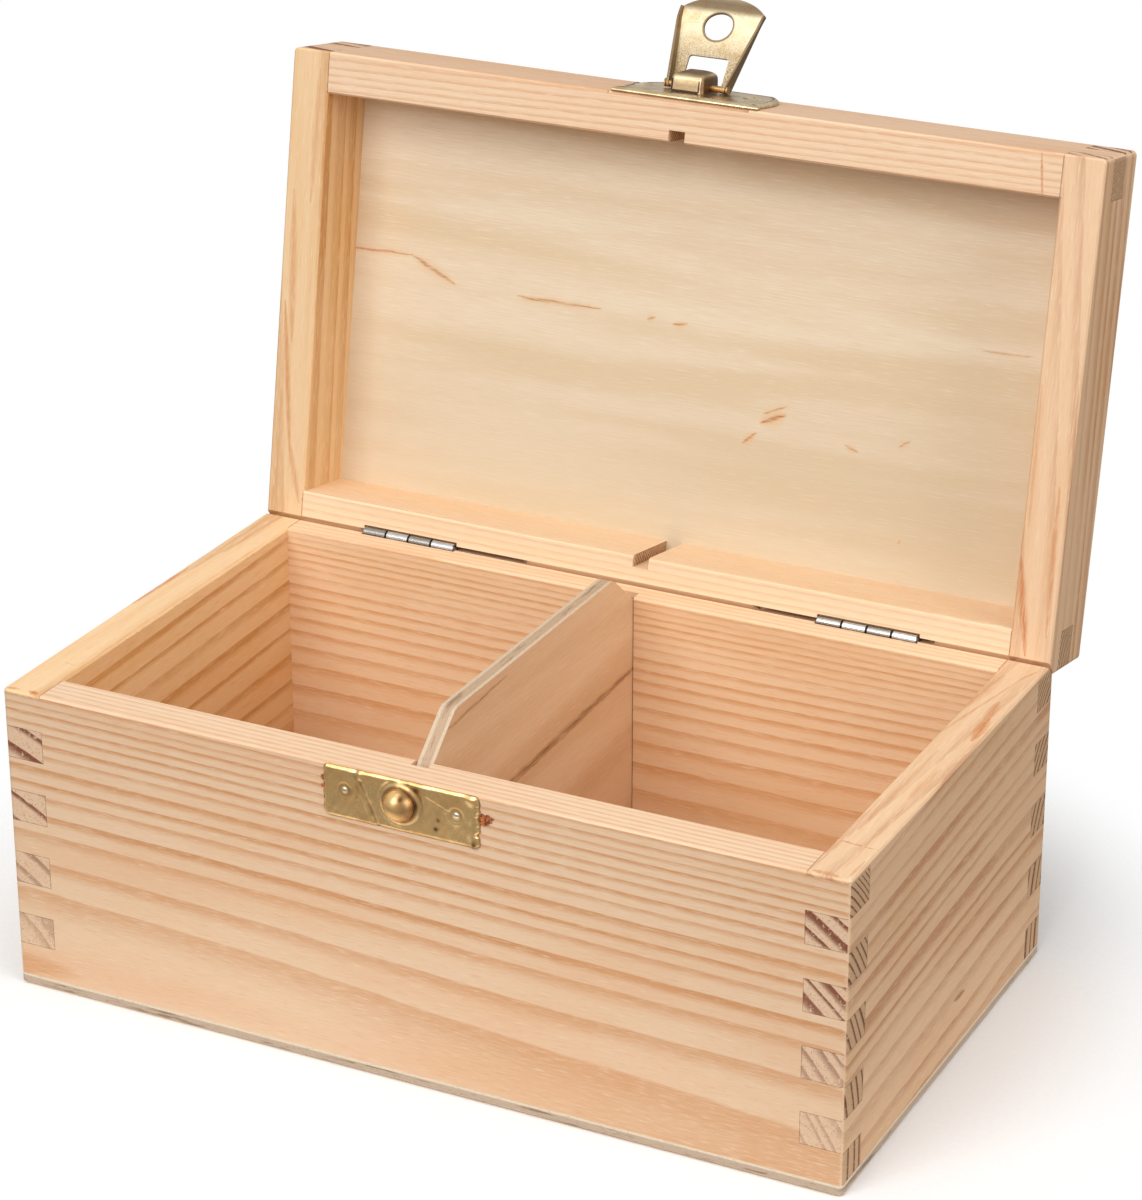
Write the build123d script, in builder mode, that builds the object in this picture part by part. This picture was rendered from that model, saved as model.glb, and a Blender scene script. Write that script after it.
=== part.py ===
from build123d import *
import os
from math import cos, radians, sin, sqrt

# A small pine tea box with a hinged lid, standing open.
# The walls were finger jointed into one closed box, which was then sawn into box and lid.
# The origin is the middle of the underside, +X runs along the front, +Y to the back, +Z up.
# Everything on the lid is drawn with the lid shut and then turned open about the hinge pins.

os.makedirs("parts", exist_ok=True)

# Box and lid outside, with the lid shut, in millimetres
box_length = 165.0
box_width = 95.0
wall = 8.0
corner_round = 1.0
outer_edge_ease = 0.5
rim_edge_ease = 0.35
inner_edge_ease = 0.4

# Finger joints: one finger is as high as the next, and the saw went through one layer
finger = 6.35
box_layers = 9
box_layer_rest = 0.75
lid_layer_rest = 4.8
lid_layers = 2
shut_gap = 0.1

# Plywood: the bottom is glued under the walls, the top lies in a rabbet of the lid's rails
bottom_ply = 2.3
top_ply = 2.3
top_rabbet = 4.0

# Divider and the grooves that hold it
divider_x = -0.3
divider_ply = 3.0
divider_play = 0.15
groove_depth = 2.3
divider_rise = 6.8
divider_corner_run = 10.6
divider_corner_drop = 9.0
divider_corner_round = 3.0

# Hinges: folded leaves in saw kerfs, on a line set in from the back
axis_inset = 2.4
bevel_lead = 0.55
lid_open_angle = 100.0
hinge_length = 20.0
left_hinge_inset = 32.5
right_hinge_inset = 35.7
knuckle_count = 4
knuckle_gap = 0.15
barrel_diameter = 2.0
barrel_room = 0.3
hinge_pin_diameter = 1.0
hinge_pin_play = 0.05
leaf_thickness = 0.9
leaf_depth = 6.0
leaf_shoulder = 1.6
leaf_taper = 4.6
kerf_play = 0.05
kerf_depth = 8.0
blade_radius = 15.0
kerf_past_hinge = 17.1
left_kerf_shift = 7.2
right_kerf_shift = -5.1

# Catch plate on the box front, with a pressed dome and two end prongs
latch_x = -0.75
catch_length = 30.6
catch_height = 9.9
catch_sheet = 0.5
catch_below_rim = 0.05
catch_corner_round = 1.0
dome_radius = 3.0
dome_root_flare = 0.4
dome_hollow_depth = 2.4
dome_hollow_crown = 1.2
prong_width = 4.0
prong_depth = 4.0
catch_nail_spacing = 21.8
catch_nail_below_rim = 4.3

# Latch plate on the lid front, a pressed tray with a raised hood
latch_length = 29.6
latch_height = 16.2
latch_above_rim = 0.15
latch_crown = 0.9
latch_sheet = 0.45
latch_edge_round = 0.4
latch_step = 1.7
latch_notch_rise = 3.2
latch_notch_in = 0.9
latch_lobe_rise = 8.3
latch_lobe_out = 0.8
latch_shoulder_in = 2.4
latch_bite = 0.5
latch_bite_play = 0.03
latch_nail_spacing = 22.4
hood_width = 6.3
hood_length = 6.5
hood_shift = -0.25
hood_height = 4.0
hood_round = 1.3
hood_gap = 0.6

# Hasp and its pin
pivot_rise = 8.3
pivot_stand = 1.9
hasp_open_angle = 124.3
hasp_tilt = 5.7
hasp_sheet = 0.45
hasp_stand = 1.6
hasp_length = 16.2
hasp_heel = 0.1
hasp_width_at_pin = 12.1
hasp_width_at_tip = 17.2
hasp_tip_flange = 0.5
hasp_hole_diameter = 5.7
hasp_hole_reach = 13.0
window_width = 8.1
window_reach = 6.7
window_corner_round = 0.6
lip_length = 3.7
lip_angle = 25.0
bend_round = 0.5
eye_radius = 0.8
hasp_pin_diameter = 1.2
hasp_pin_fit = 0.03
hasp_pin_play = 0.08
hasp_pin_head = 0.3
hasp_pin_head_diameter = 1.6

# Nails of both plates
nail_diameter = 1.0
nail_length = 6.0
nail_head_diameter = 2.0
nail_head_height = 0.35
nail_crown_diameter = 1.0
nail_sides = 8
nail_point_angle = 22.0
nail_fit = 0.02

# Heights and places that follow from the sizes
floor = bottom_ply
rim = floor + box_layers * finger + box_layer_rest
lid_rim = rim + shut_gap
lid_top = lid_rim + lid_layer_rest + lid_layers * finger
half_length = box_length / 2
half_width = box_width / 2
axis_y = half_width - axis_inset
axis_z = rim + shut_gap / 2
bevel = axis_inset + bevel_lead
groove_width = divider_ply + 2 * divider_play
left_hinge_x = left_hinge_inset - half_length
right_hinge_x = half_length - right_hinge_inset
kerf_width = leaf_thickness + 2 * kerf_play
dome_z = lid_rim + pivot_rise - hasp_hole_reach
pivot_y = -half_width - pivot_stand
pivot_z = lid_rim + pivot_rise
beyond = 1.0
touch = 0.01

hinge_axis = Axis((0, axis_y, axis_z), (1, 0, 0))
hasp_axis = Axis((0, pivot_y, pivot_z), (1, 0, 0))
front_face = Plane.XZ.offset(half_width)


# The joints' layers: front and back boards own every other layer, the side boards the rest
box_levels = [floor + n * finger for n in range(box_layers + 1)] + [rim]
lid_levels = [lid_rim] + [lid_rim + lid_layer_rest + n * finger for n in range(lid_layers + 1)]


def layers(levels, first):
    """The low and high level of every other layer, beginning with the one numbered first."""
    pairs = list(zip(levels[:-1], levels[1:]))
    return pairs[first::2]


box_front_layers = layers(box_levels, 0)
box_side_layers = layers(box_levels, 1)
lid_front_layers = layers(lid_levels, 1)
lid_side_layers = layers(lid_levels, 0)


def outer_form(low, high, sawn, away):
    """The box's or lid's outside as one block, with eased edges and the bevel along the back.

    sawn is the level of the saw cut, and away is the direction from there into the wood.
    """
    with BuildPart() as form:
        with BuildSketch(Plane.XY.offset(low)) as outline:
            Rectangle(box_length, box_width)
            fillet(outline.vertices(), corner_round)
        extrude(amount=high - low)
        by_height = form.faces().sort_by(Axis.Z)
        sawn_face = by_height[-1] if away < 0 else by_height[0]
        closed_face = by_height[0] if away < 0 else by_height[-1]
        chamfer(sawn_face.edges(), rim_edge_ease)
        chamfer(closed_face.edges(), outer_edge_ease)
        with BuildSketch(Plane.YZ) as wedge:
            with BuildLine():
                Polyline(
                    (half_width - bevel, sawn),
                    (half_width + beyond, sawn + away * (bevel + beyond)),
                    (half_width + beyond, sawn - away * beyond),
                    (half_width - bevel, sawn - away * beyond),
                    close=True,
                )
            make_face()
        extrude(amount=box_length, both=True, mode=Mode.SUBTRACT)
    return form


def frame_form(form, sawn):
    """The same block hollowed out, with its inner rim edge eased."""
    with BuildPart() as frame:
        add(form.part)
        bounds = form.part.bounding_box()
        with BuildSketch(Plane.XY.offset(bounds.min.Z - beyond)):
            Rectangle(box_length - 2 * wall, box_width - 2 * wall)
        extrude(amount=bounds.size.Z + 2 * beyond, mode=Mode.SUBTRACT)
        rim_edges = frame.edges().filter_by_position(Axis.Z, sawn - touch, sawn + touch)
        inner = rim_edges.filter_by(
            lambda edge: abs(edge.center().X) < half_length - wall + touch
            and abs(edge.center().Y) < half_width - wall + touch
        )
        chamfer(inner, inner_edge_ease)
    return frame


def finger_outline(length, levels, tabs):
    """A board seen from its face: the stretch between the corners, and a finger at each end of its layers."""
    low, high = levels[0], levels[-1]
    with Locations((0, (low + high) / 2)):
        Rectangle(length - 2 * wall, high - low)
    for tab_low, tab_high in tabs:
        with Locations((0, (tab_low + tab_high) / 2)):
            Rectangle(length, tab_high - tab_low)


def cut_groove(side, low, high):
    """The divider's groove in the inner face of the front (side -1) or back (side +1) board."""
    inner_face = half_width - wall
    with BuildSketch(Plane.XY.offset(low)) as groove:
        with Locations((divider_x, side * (inner_face + groove_depth / 2))):
            Rectangle(groove_width, groove_depth)
        with Locations((divider_x, side * (inner_face - beyond / 2))):
            Rectangle(groove_width, beyond)
    extrude(groove.sketch, amount=high - low, mode=Mode.SUBTRACT)


def cut_kerfs(sawn, away):
    """The two saw kerfs for the hinge leaves, and the round room for the barrels between the rims."""
    blade_lift = blade_radius - kerf_depth
    blade_centre = sawn - away * blade_lift
    blade_half_chord = sqrt(blade_radius ** 2 - blade_lift ** 2)
    blade_travel = hinge_length + kerf_past_hinge - 2 * blade_half_chord
    left_kerf = (left_hinge_x + left_kerf_shift, blade_centre)
    right_kerf = (right_hinge_x + right_kerf_shift, blade_centre)
    with BuildSketch(Plane.XZ.offset(-axis_y)) as blades:
        with Locations(left_kerf, right_kerf):
            SlotCenterToCenter(blade_travel, 2 * blade_radius)
    extrude(blades.sketch, amount=kerf_width / 2, both=True, mode=Mode.SUBTRACT)
    for x in (left_hinge_x, right_hinge_x):
        with Locations(Location((x, axis_y, axis_z), (0, 90, 0))):
            Cylinder(
                barrel_diameter / 2 + barrel_room,
                hinge_length + 2 * barrel_room,
                mode=Mode.SUBTRACT,
            )


def cut_nail_holes(spacing, z):
    """Holes for a plate's two nails, from the front face inwards."""
    with BuildSketch(front_face) as holes:
        with Locations((latch_x - spacing / 2, z), (latch_x + spacing / 2, z)):
            RegularPolygon(nail_diameter / 2 + nail_fit, nail_sides)
    extrude(holes.sketch, amount=-nail_length, mode=Mode.SUBTRACT)


def cut_top_rabbet():
    """The step along the lid's inner top edge that the top panel lies in."""
    with BuildSketch(Plane.XY.offset(lid_top - top_ply)) as rabbet:
        Rectangle(
            box_length - 2 * wall + 2 * top_rabbet,
            box_width - 2 * wall + 2 * top_rabbet,
        )
    extrude(rabbet.sketch, amount=top_ply + beyond, mode=Mode.SUBTRACT)


box_form = outer_form(0, rim, rim, -1)
box_frame = frame_form(box_form, rim)
lid_form = outer_form(lid_rim, lid_top, lid_rim, 1)
lid_frame = frame_form(lid_form, lid_rim)

catch_top = rim - catch_below_rim
catch_middle = catch_top - catch_height / 2
catch_nail_z = rim - catch_nail_below_rim
latch_low = lid_rim + latch_above_rim
latch_nail_z = latch_low + latch_lobe_rise
hood_z = pivot_z + hood_shift
latch_edge_length = latch_length - 2 * latch_edge_round


# Box: four finger-jointed walls
with BuildPart() as front_wall:
    with BuildSketch(front_face):
        finger_outline(box_length, box_levels, box_front_layers)
    extrude(amount=-wall)
    add(box_frame.part, mode=Mode.INTERSECT)
    cut_groove(-1, floor, rim + beyond)
    cut_nail_holes(catch_nail_spacing, catch_nail_z)
    with BuildSketch(front_face):
        for end in (-1, 1):
            with Locations((latch_x + end * (catch_length - catch_sheet) / 2, catch_middle)):
                Rectangle(catch_sheet, prong_width)
    extrude(amount=-prong_depth, mode=Mode.SUBTRACT)

with BuildPart() as back_wall:
    with BuildSketch(Plane.XZ.offset(-half_width)):
        finger_outline(box_length, box_levels, box_front_layers)
    extrude(amount=wall)
    add(box_frame.part, mode=Mode.INTERSECT)
    cut_groove(1, floor, rim + beyond)
    cut_kerfs(rim, -1)

with BuildPart() as left_wall:
    with BuildSketch(Plane.YZ.offset(-half_length)):
        finger_outline(box_width, box_levels, box_side_layers)
    extrude(amount=wall)
    add(box_frame.part, mode=Mode.INTERSECT)

with BuildPart() as right_wall:
    with BuildSketch(Plane.YZ.offset(half_length)):
        finger_outline(box_width, box_levels, box_side_layers)
    extrude(amount=-wall)
    add(box_frame.part, mode=Mode.INTERSECT)

with BuildPart() as bottom_panel:
    with BuildSketch():
        Rectangle(box_length, box_width)
    extrude(amount=bottom_ply)
    add(box_form.part, mode=Mode.INTERSECT)

# Divider: plywood, pushed down its grooves, with both top corners cut to let the lid pass
divider_half_width = half_width - wall + groove_depth - divider_play
divider_top = rim + divider_rise
with BuildPart() as divider:
    with BuildSketch(Plane.YZ.offset(divider_x)) as divider_outline:
        with BuildLine():
            Polyline(
                (-divider_half_width, floor),
                (divider_half_width, floor),
                (divider_half_width, divider_top - divider_corner_drop),
                (divider_half_width - divider_corner_run, divider_top),
                (divider_corner_run - divider_half_width, divider_top),
                (-divider_half_width, divider_top - divider_corner_drop),
                close=True,
            )
        make_face()
        fillet(divider_outline.vertices().group_by(Axis.Y)[-1], divider_corner_round)
    extrude(amount=divider_ply / 2, both=True)

# Lid: four finger-jointed rails and the plywood top
with BuildPart() as lid_front_rail:
    with BuildSketch(front_face):
        finger_outline(box_length, lid_levels, lid_front_layers)
    extrude(amount=-wall)
    add(lid_frame.part, mode=Mode.INTERSECT)
    cut_top_rabbet()
    cut_groove(-1, lid_rim - beyond, lid_top - top_ply)
    cut_nail_holes(latch_nail_spacing, latch_nail_z)
    with BuildSketch(front_face):
        with Locations((latch_x, lid_rim + (latch_above_rim + latch_sheet) / 2)):
            Rectangle(
                latch_edge_length + 2 * latch_bite_play,
                latch_above_rim + latch_sheet + 2 * latch_bite_play,
            )
    extrude(amount=-latch_bite - latch_bite_play, mode=Mode.SUBTRACT)

with BuildPart() as lid_back_rail:
    with BuildSketch(Plane.XZ.offset(-half_width)):
        finger_outline(box_length, lid_levels, lid_front_layers)
    extrude(amount=wall)
    add(lid_frame.part, mode=Mode.INTERSECT)
    cut_top_rabbet()
    cut_groove(1, lid_rim - beyond, lid_top - top_ply)
    cut_kerfs(lid_rim, 1)

with BuildPart() as lid_left_rail:
    with BuildSketch(Plane.YZ.offset(-half_length)):
        finger_outline(box_width, lid_levels, lid_side_layers)
    extrude(amount=wall)
    add(lid_frame.part, mode=Mode.INTERSECT)
    cut_top_rabbet()

with BuildPart() as lid_right_rail:
    with BuildSketch(Plane.YZ.offset(half_length)):
        finger_outline(box_width, lid_levels, lid_side_layers)
    extrude(amount=-wall)
    add(lid_frame.part, mode=Mode.INTERSECT)
    cut_top_rabbet()

with BuildPart() as lid_panel:
    with BuildSketch(Plane.XY.offset(lid_top - top_ply)):
        Rectangle(
            box_length - 2 * wall + 2 * top_rabbet,
            box_width - 2 * wall + 2 * top_rabbet,
        )
    extrude(amount=top_ply)


# Hinges: each leaf is a strip folded round the pin, so it is two sheets thick below its knuckles
def hinge_leaf(hinge_x, away, own_knuckles):
    """A folded leaf that runs from the barrel into its kerf; own_knuckles are the places it fills."""
    pitch = hinge_length / knuckle_count
    knuckle_xs = [hinge_x + (n - (knuckle_count - 1) / 2) * pitch for n in own_knuckles]
    clear_of_barrel = barrel_diameter / 2 + barrel_room
    with BuildPart() as leaf:
        with BuildSketch(Plane.XZ.offset(-axis_y)):
            with BuildLine():
                Polyline(
                    (hinge_x - hinge_length / 2, axis_z + away * clear_of_barrel),
                    (hinge_x - hinge_length / 2, axis_z + away * leaf_shoulder),
                    (hinge_x - hinge_length / 2 + leaf_taper, axis_z + away * leaf_depth),
                    (hinge_x + hinge_length / 2 - leaf_taper, axis_z + away * leaf_depth),
                    (hinge_x + hinge_length / 2, axis_z + away * leaf_shoulder),
                    (hinge_x + hinge_length / 2, axis_z + away * clear_of_barrel),
                    close=True,
                )
            make_face()
            for x in knuckle_xs:
                with Locations((x, axis_z + away * clear_of_barrel / 2)):
                    Rectangle(pitch - knuckle_gap, clear_of_barrel)
        extrude(amount=leaf_thickness / 2, both=True)
        for x in knuckle_xs:
            with Locations(Location((x, axis_y, axis_z), (0, 90, 0))):
                Cylinder(barrel_diameter / 2, pitch - knuckle_gap)
        with Locations(Location((hinge_x, axis_y, axis_z), (0, 90, 0))):
            Cylinder(hinge_pin_diameter / 2 + hinge_pin_play, hinge_length, mode=Mode.SUBTRACT)
    return leaf


def hinge_pin(hinge_x):
    """The wire that both leaves are folded round."""
    with BuildPart() as pin:
        with Locations(Location((hinge_x, axis_y, axis_z), (0, 90, 0))):
            Cylinder(hinge_pin_diameter / 2, hinge_length)
    return pin


lid_knuckles = range(0, knuckle_count, 2)
box_knuckles = range(1, knuckle_count, 2)
left_hinge_box_leaf = hinge_leaf(left_hinge_x, -1, box_knuckles)
left_hinge_lid_leaf = hinge_leaf(left_hinge_x, 1, lid_knuckles)
left_hinge_pin = hinge_pin(left_hinge_x)
right_hinge_box_leaf = hinge_leaf(right_hinge_x, -1, box_knuckles)
right_hinge_lid_leaf = hinge_leaf(right_hinge_x, 1, lid_knuckles)
right_hinge_pin = hinge_pin(right_hinge_x)


def plate_nails(spacing, z, seat):
    """A plate's two nails: pointed shanks in the wood and low crowned heads on the plate's face."""
    places = ((latch_x - spacing / 2, z), (latch_x + spacing / 2, z))
    head_y = -half_width - seat
    with BuildPart() as nails:
        with BuildSketch(front_face.offset(nail_diameter - nail_length)) as shanks:
            with Locations(*places):
                RegularPolygon(nail_diameter / 2, nail_sides)
        extrude(amount=nail_length - nail_diameter + seat)
        extrude(shanks.sketch, amount=-nail_diameter, taper=nail_point_angle)
        for x, _ in places:
            with BuildSketch(Plane.YZ.offset(x)):
                with BuildLine():
                    Polyline(
                        (head_y, z),
                        (head_y, z + nail_head_diameter / 2),
                        (head_y - nail_head_height, z + nail_crown_diameter / 2),
                        (head_y - nail_head_height, z),
                        close=True,
                    )
                make_face()
            revolve(axis=Axis((x, 0, z), (0, 1, 0)))
    return nails


# Catch plate: flat sheet with prongs turned into the wood, and a hollow dome pressed out of it
with BuildPart() as catch_plate:
    with BuildSketch(front_face):
        with Locations((latch_x, catch_middle)):
            RectangleRounded(catch_length, catch_height, catch_corner_round)
    extrude(amount=catch_sheet)
    with Locations((latch_x, -half_width - catch_sheet, dome_z)):
        Sphere(dome_radius)
    split(bisect_by=front_face, keep=Keep.TOP)
    dome_root = catch_plate.edges().filter_by(GeomType.CIRCLE).filter_by_position(
        Axis.Y, -half_width - catch_sheet - touch, -half_width - catch_sheet + touch
    )
    chamfer(dome_root.sort_by(SortBy.RADIUS)[-1], dome_root_flare)
    with Locations(Location((latch_x, -half_width, dome_z), (90, 0, 0))):
        Cone(
            dome_radius - catch_sheet,
            dome_hollow_crown,
            dome_hollow_depth,
            align=(Align.CENTER, Align.CENTER, Align.MIN),
            mode=Mode.SUBTRACT,
        )
    with BuildSketch(front_face):
        for end in (-1, 1):
            with Locations((latch_x + end * (catch_length - catch_sheet) / 2, catch_middle)):
                Rectangle(catch_sheet, prong_width)
    extrude(amount=-prong_depth)
    with BuildSketch(front_face):
        for end in (-1, 1):
            with Locations((latch_x + end * catch_nail_spacing / 2, catch_nail_z)):
                RegularPolygon(nail_diameter / 2 + nail_fit, nail_sides)
    extrude(amount=catch_sheet, mode=Mode.SUBTRACT)

catch_nails = plate_nails(catch_nail_spacing, catch_nail_z, catch_sheet)


# Latch plate: its ends step in and swell out again, and its edge is turned down all round
def latch_outline():
    """The plate's outline: two straight long edges, and at each end a corner, a notch, a lobe and a shoulder."""
    half = latch_length / 2
    low, high = latch_low, latch_low + latch_height
    with BuildLine() as edge_line:
        for end in (-1, 1):
            corner_x = latch_x + end * half
            notch_x = corner_x - end * latch_notch_in
            shoulder_x = corner_x - end * latch_shoulder_in
            Line((latch_x, low), (corner_x, low))
            Line((corner_x, low), (corner_x, low + latch_step))
            Line((corner_x, low + latch_step), (notch_x, low + latch_notch_rise))
            ThreePointArc(
                (notch_x, low + latch_notch_rise),
                (corner_x + end * latch_lobe_out, low + latch_lobe_rise),
                (shoulder_x, high),
            )
            Line((shoulder_x, high), (latch_x, high))
    make_face(edge_line.edges())


with BuildPart() as latch_plate:
    with BuildSketch(front_face):
        latch_outline()
    extrude(amount=latch_crown)
    latch_front_edges = latch_plate.faces().sort_by(Axis.Y)[0].edges()
    chamfer(latch_front_edges, latch_edge_round)
    with BuildSketch(front_face):
        latch_outline()
        offset(amount=-2 * latch_sheet, mode=Mode.REPLACE)
    extrude(amount=latch_crown - latch_sheet, mode=Mode.SUBTRACT)
    with BuildSketch(front_face):
        with Locations((latch_x, latch_low + latch_sheet / 2)):
            Rectangle(latch_edge_length, latch_sheet)
    extrude(amount=-latch_bite)
    with BuildSketch(front_face.offset(latch_crown - latch_sheet)):
        with Locations((latch_x, hood_z)):
            RectangleRounded(hood_width, hood_length, hood_round)
    extrude(amount=latch_sheet + hood_height)
    fillet(latch_plate.faces().sort_by(Axis.Y)[0].edges(), hood_round)
    with BuildSketch(front_face):
        with Locations((latch_x, hood_z)):
            RectangleRounded(
                hood_width - 2 * latch_sheet,
                hood_length - 2 * latch_sheet,
                hood_round - latch_sheet,
            )
    extrude(amount=latch_crown + hood_height - latch_sheet, mode=Mode.SUBTRACT)
    with BuildSketch(front_face.offset(latch_crown)):
        with Locations((latch_x, hood_z - hood_length / 2)):
            Rectangle(hood_width + beyond, hood_length / 2)
    extrude(amount=hood_gap, mode=Mode.SUBTRACT)
    with Locations(Location((latch_x, pivot_y, pivot_z), (0, 90, 0))):
        Cylinder(
            hasp_pin_diameter / 2 + hasp_pin_play,
            hood_width + 2 * beyond,
            mode=Mode.SUBTRACT,
        )
    with BuildSketch(front_face):
        for end in (-1, 1):
            with Locations((latch_x + end * latch_nail_spacing / 2, latch_nail_z)):
                RegularPolygon(nail_diameter / 2 + nail_fit, nail_sides)
    extrude(amount=latch_crown, mode=Mode.SUBTRACT)

latch_nails = plate_nails(latch_nail_spacing, latch_nail_z, latch_crown)


# Hasp: drawn hanging shut, on a plane through its pin that leans a little towards the box
down_slope = (0, sin(radians(hasp_tilt)), -cos(radians(hasp_tilt)))
outwards = (0, -cos(radians(hasp_tilt)), -sin(radians(hasp_tilt)))
pin_centre = (latch_x, pivot_y, pivot_z)
hasp_face = Plane(origin=pin_centre, x_dir=(1, 0, 0), z_dir=outwards)
hasp_side = Plane(origin=pin_centre, x_dir=down_slope, z_dir=(-1, 0, 0))


def hasp_half_width(reach):
    """Half of the hasp's width at a distance from the pin: its sides spread towards the tip."""
    spread = (hasp_width_at_tip - hasp_width_at_pin) / hasp_length
    return (hasp_width_at_pin + spread * reach) / 2


def hasp_band(start, inset):
    """One trapezoid as wide as the hasp less an inset at each side, from start to the tip."""
    with BuildLine() as band:
        Polyline(
            (-hasp_half_width(start) + inset, -start),
            (-hasp_half_width(hasp_length) + inset, -hasp_length),
            (hasp_half_width(hasp_length) - inset, -hasp_length),
            (hasp_half_width(start) - inset, -start),
            close=True,
        )
    make_face(band.edges())


with BuildPart() as hasp:
    # Two side flanges, deep at the pin and shallow at the tip
    with BuildSketch(hasp_face.offset(-eye_radius)) as flange_plan:
        hasp_band(-eye_radius, 0)
        with BuildSketch(mode=Mode.PRIVATE) as between:
            hasp_band(-eye_radius, hasp_sheet)
        add(between.sketch, mode=Mode.SUBTRACT)
    extrude(amount=eye_radius + hasp_stand + hasp_sheet)
    with BuildSketch(hasp_side) as flange_side:
        with BuildLine():
            Polyline(
                (0, -eye_radius),
                (hasp_length, hasp_stand - hasp_tip_flange),
                (hasp_length, hasp_stand + hasp_sheet),
                (hasp_heel, hasp_stand + hasp_sheet),
                (-eye_radius, 0),
                close=True,
            )
        make_face()
        Circle(eye_radius)
    extrude(amount=hasp_width_at_tip, both=True, mode=Mode.INTERSECT)
    # The sheet with its window, open towards the pin
    with BuildSketch(hasp_face.offset(hasp_stand)):
        hasp_band(hasp_heel, 0)
        with Locations((0, -window_reach / 2)):
            RectangleRounded(window_width, window_reach, window_corner_round, mode=Mode.SUBTRACT)
        with Locations((0, -window_reach / 4)):
            Rectangle(window_width, window_reach / 2, mode=Mode.SUBTRACT)
        with Locations((0, -hasp_hole_reach)):
            Circle(hasp_hole_diameter / 2, mode=Mode.SUBTRACT)
    extrude(amount=hasp_sheet)
    # The finger lip, a round-edged tongue bent out at the tip
    bend_point = hasp_face.from_local_coords((0, -hasp_length, hasp_stand))
    lip_face = Plane(origin=bend_point, x_dir=(1, 0, 0), z_dir=outwards).rotated((-lip_angle, 0, 0))
    with BuildSketch(lip_face):
        with BuildLine():
            tip_edge = Line(
                (hasp_half_width(hasp_length), 0),
                (-hasp_half_width(hasp_length), 0),
            )
            ThreePointArc(tip_edge @ 1, (0, -lip_length), tip_edge @ 0)
        make_face()
    extrude(amount=hasp_sheet)
    fillet(hasp.edges().filter_by(Axis.X).sort_by_distance(bend_point)[0], bend_round)
    with Locations(Location(pin_centre, (0, 90, 0))):
        Cylinder(
            hasp_pin_diameter / 2 + hasp_pin_fit,
            hasp_width_at_tip,
            mode=Mode.SUBTRACT,
        )

with BuildPart() as hasp_pin:
    with Locations(Location(pin_centre, (0, 90, 0))):
        Cylinder(hasp_pin_diameter / 2, 2 * hasp_half_width(eye_radius))
    for end in (-1, 1):
        head_x = latch_x + end * (hasp_half_width(eye_radius) + hasp_pin_head / 2)
        with Locations(Location((head_x, pivot_y, pivot_z), (0, 90, 0))):
            Cylinder(hasp_pin_head_diameter / 2, hasp_pin_head)


def finish(builder, label, *turns):
    """Turn a drawn piece to where it stands, label it and write its file."""
    piece = builder.part
    for axis, angle in turns:
        piece = piece.rotate(axis, angle)
    piece.label = label
    export_step(piece, f"parts/{label}.step")
    return piece


open_lid = (hinge_axis, -lid_open_angle)
open_hasp = (hasp_axis, -hasp_open_angle)

finish(front_wall, "front_wall")
finish(back_wall, "back_wall")
finish(left_wall, "left_wall")
finish(right_wall, "right_wall")
finish(bottom_panel, "bottom_panel")
finish(divider, "divider")
finish(left_hinge_box_leaf, "left_hinge_box_leaf")
finish(left_hinge_pin, "left_hinge_pin")
finish(right_hinge_box_leaf, "right_hinge_box_leaf")
finish(right_hinge_pin, "right_hinge_pin")
finish(catch_plate, "catch_plate")
finish(catch_nails, "catch_nails")

finish(lid_front_rail, "lid_front_rail", open_lid)
finish(lid_back_rail, "lid_back_rail", open_lid)
finish(lid_left_rail, "lid_left_rail", open_lid)
finish(lid_right_rail, "lid_right_rail", open_lid)
finish(lid_panel, "lid_panel", open_lid)
finish(left_hinge_lid_leaf, "left_hinge_lid_leaf", open_lid)
finish(right_hinge_lid_leaf, "right_hinge_lid_leaf", open_lid)
finish(latch_plate, "latch_plate", open_lid)
finish(latch_nails, "latch_nails", open_lid)

finish(hasp, "hasp", open_hasp, open_lid)
pin_at_rest = finish(hasp_pin, "hasp_pin", open_hasp, open_lid)

# The two lines that the lid and the hasp turn about, as they lie with the lid open
print("hinge line through", (0, axis_y, axis_z))
print("hasp pin through", tuple(pin_at_rest.center()))
print("rim", rim, "lid top when shut", lid_top, "divider top", divider_top)
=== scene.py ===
# %% [markdown]
# A small pine tea box stands open on a pale floor. The box was glued up closed from finger-jointed
# boards and then sawn apart, so the year rings of each board run on from the box into the lid.
# This lesson dresses the measured model: it gives the wood its grain in depth, makes the pressed
# brass fittings with their dents, and lights everything the way a small studio would.

# %% load the measured model
import math

import bmesh
import bpy
import numpy as np
from mathutils import Matrix, Vector


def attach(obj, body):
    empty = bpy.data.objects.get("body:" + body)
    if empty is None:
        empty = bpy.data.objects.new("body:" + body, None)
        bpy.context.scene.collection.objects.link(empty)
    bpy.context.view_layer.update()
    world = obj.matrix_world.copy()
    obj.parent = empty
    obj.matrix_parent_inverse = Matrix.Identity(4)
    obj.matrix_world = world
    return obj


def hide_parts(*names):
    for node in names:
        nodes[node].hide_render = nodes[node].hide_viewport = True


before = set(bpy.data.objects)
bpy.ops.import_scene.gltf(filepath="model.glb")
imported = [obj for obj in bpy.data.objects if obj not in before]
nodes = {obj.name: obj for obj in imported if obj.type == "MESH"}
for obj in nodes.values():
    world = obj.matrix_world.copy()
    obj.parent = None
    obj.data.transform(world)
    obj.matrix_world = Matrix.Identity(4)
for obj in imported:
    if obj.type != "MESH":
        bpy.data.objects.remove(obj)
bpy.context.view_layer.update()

# %% [markdown]
# The sizes below are read off the same drawing as the model. Everything on the lid was drawn shut
# and then turned open, so grain and wear of the lid are worked out in the shut position too: that
# is what makes a year ring cross the saw cut without a step.

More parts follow.
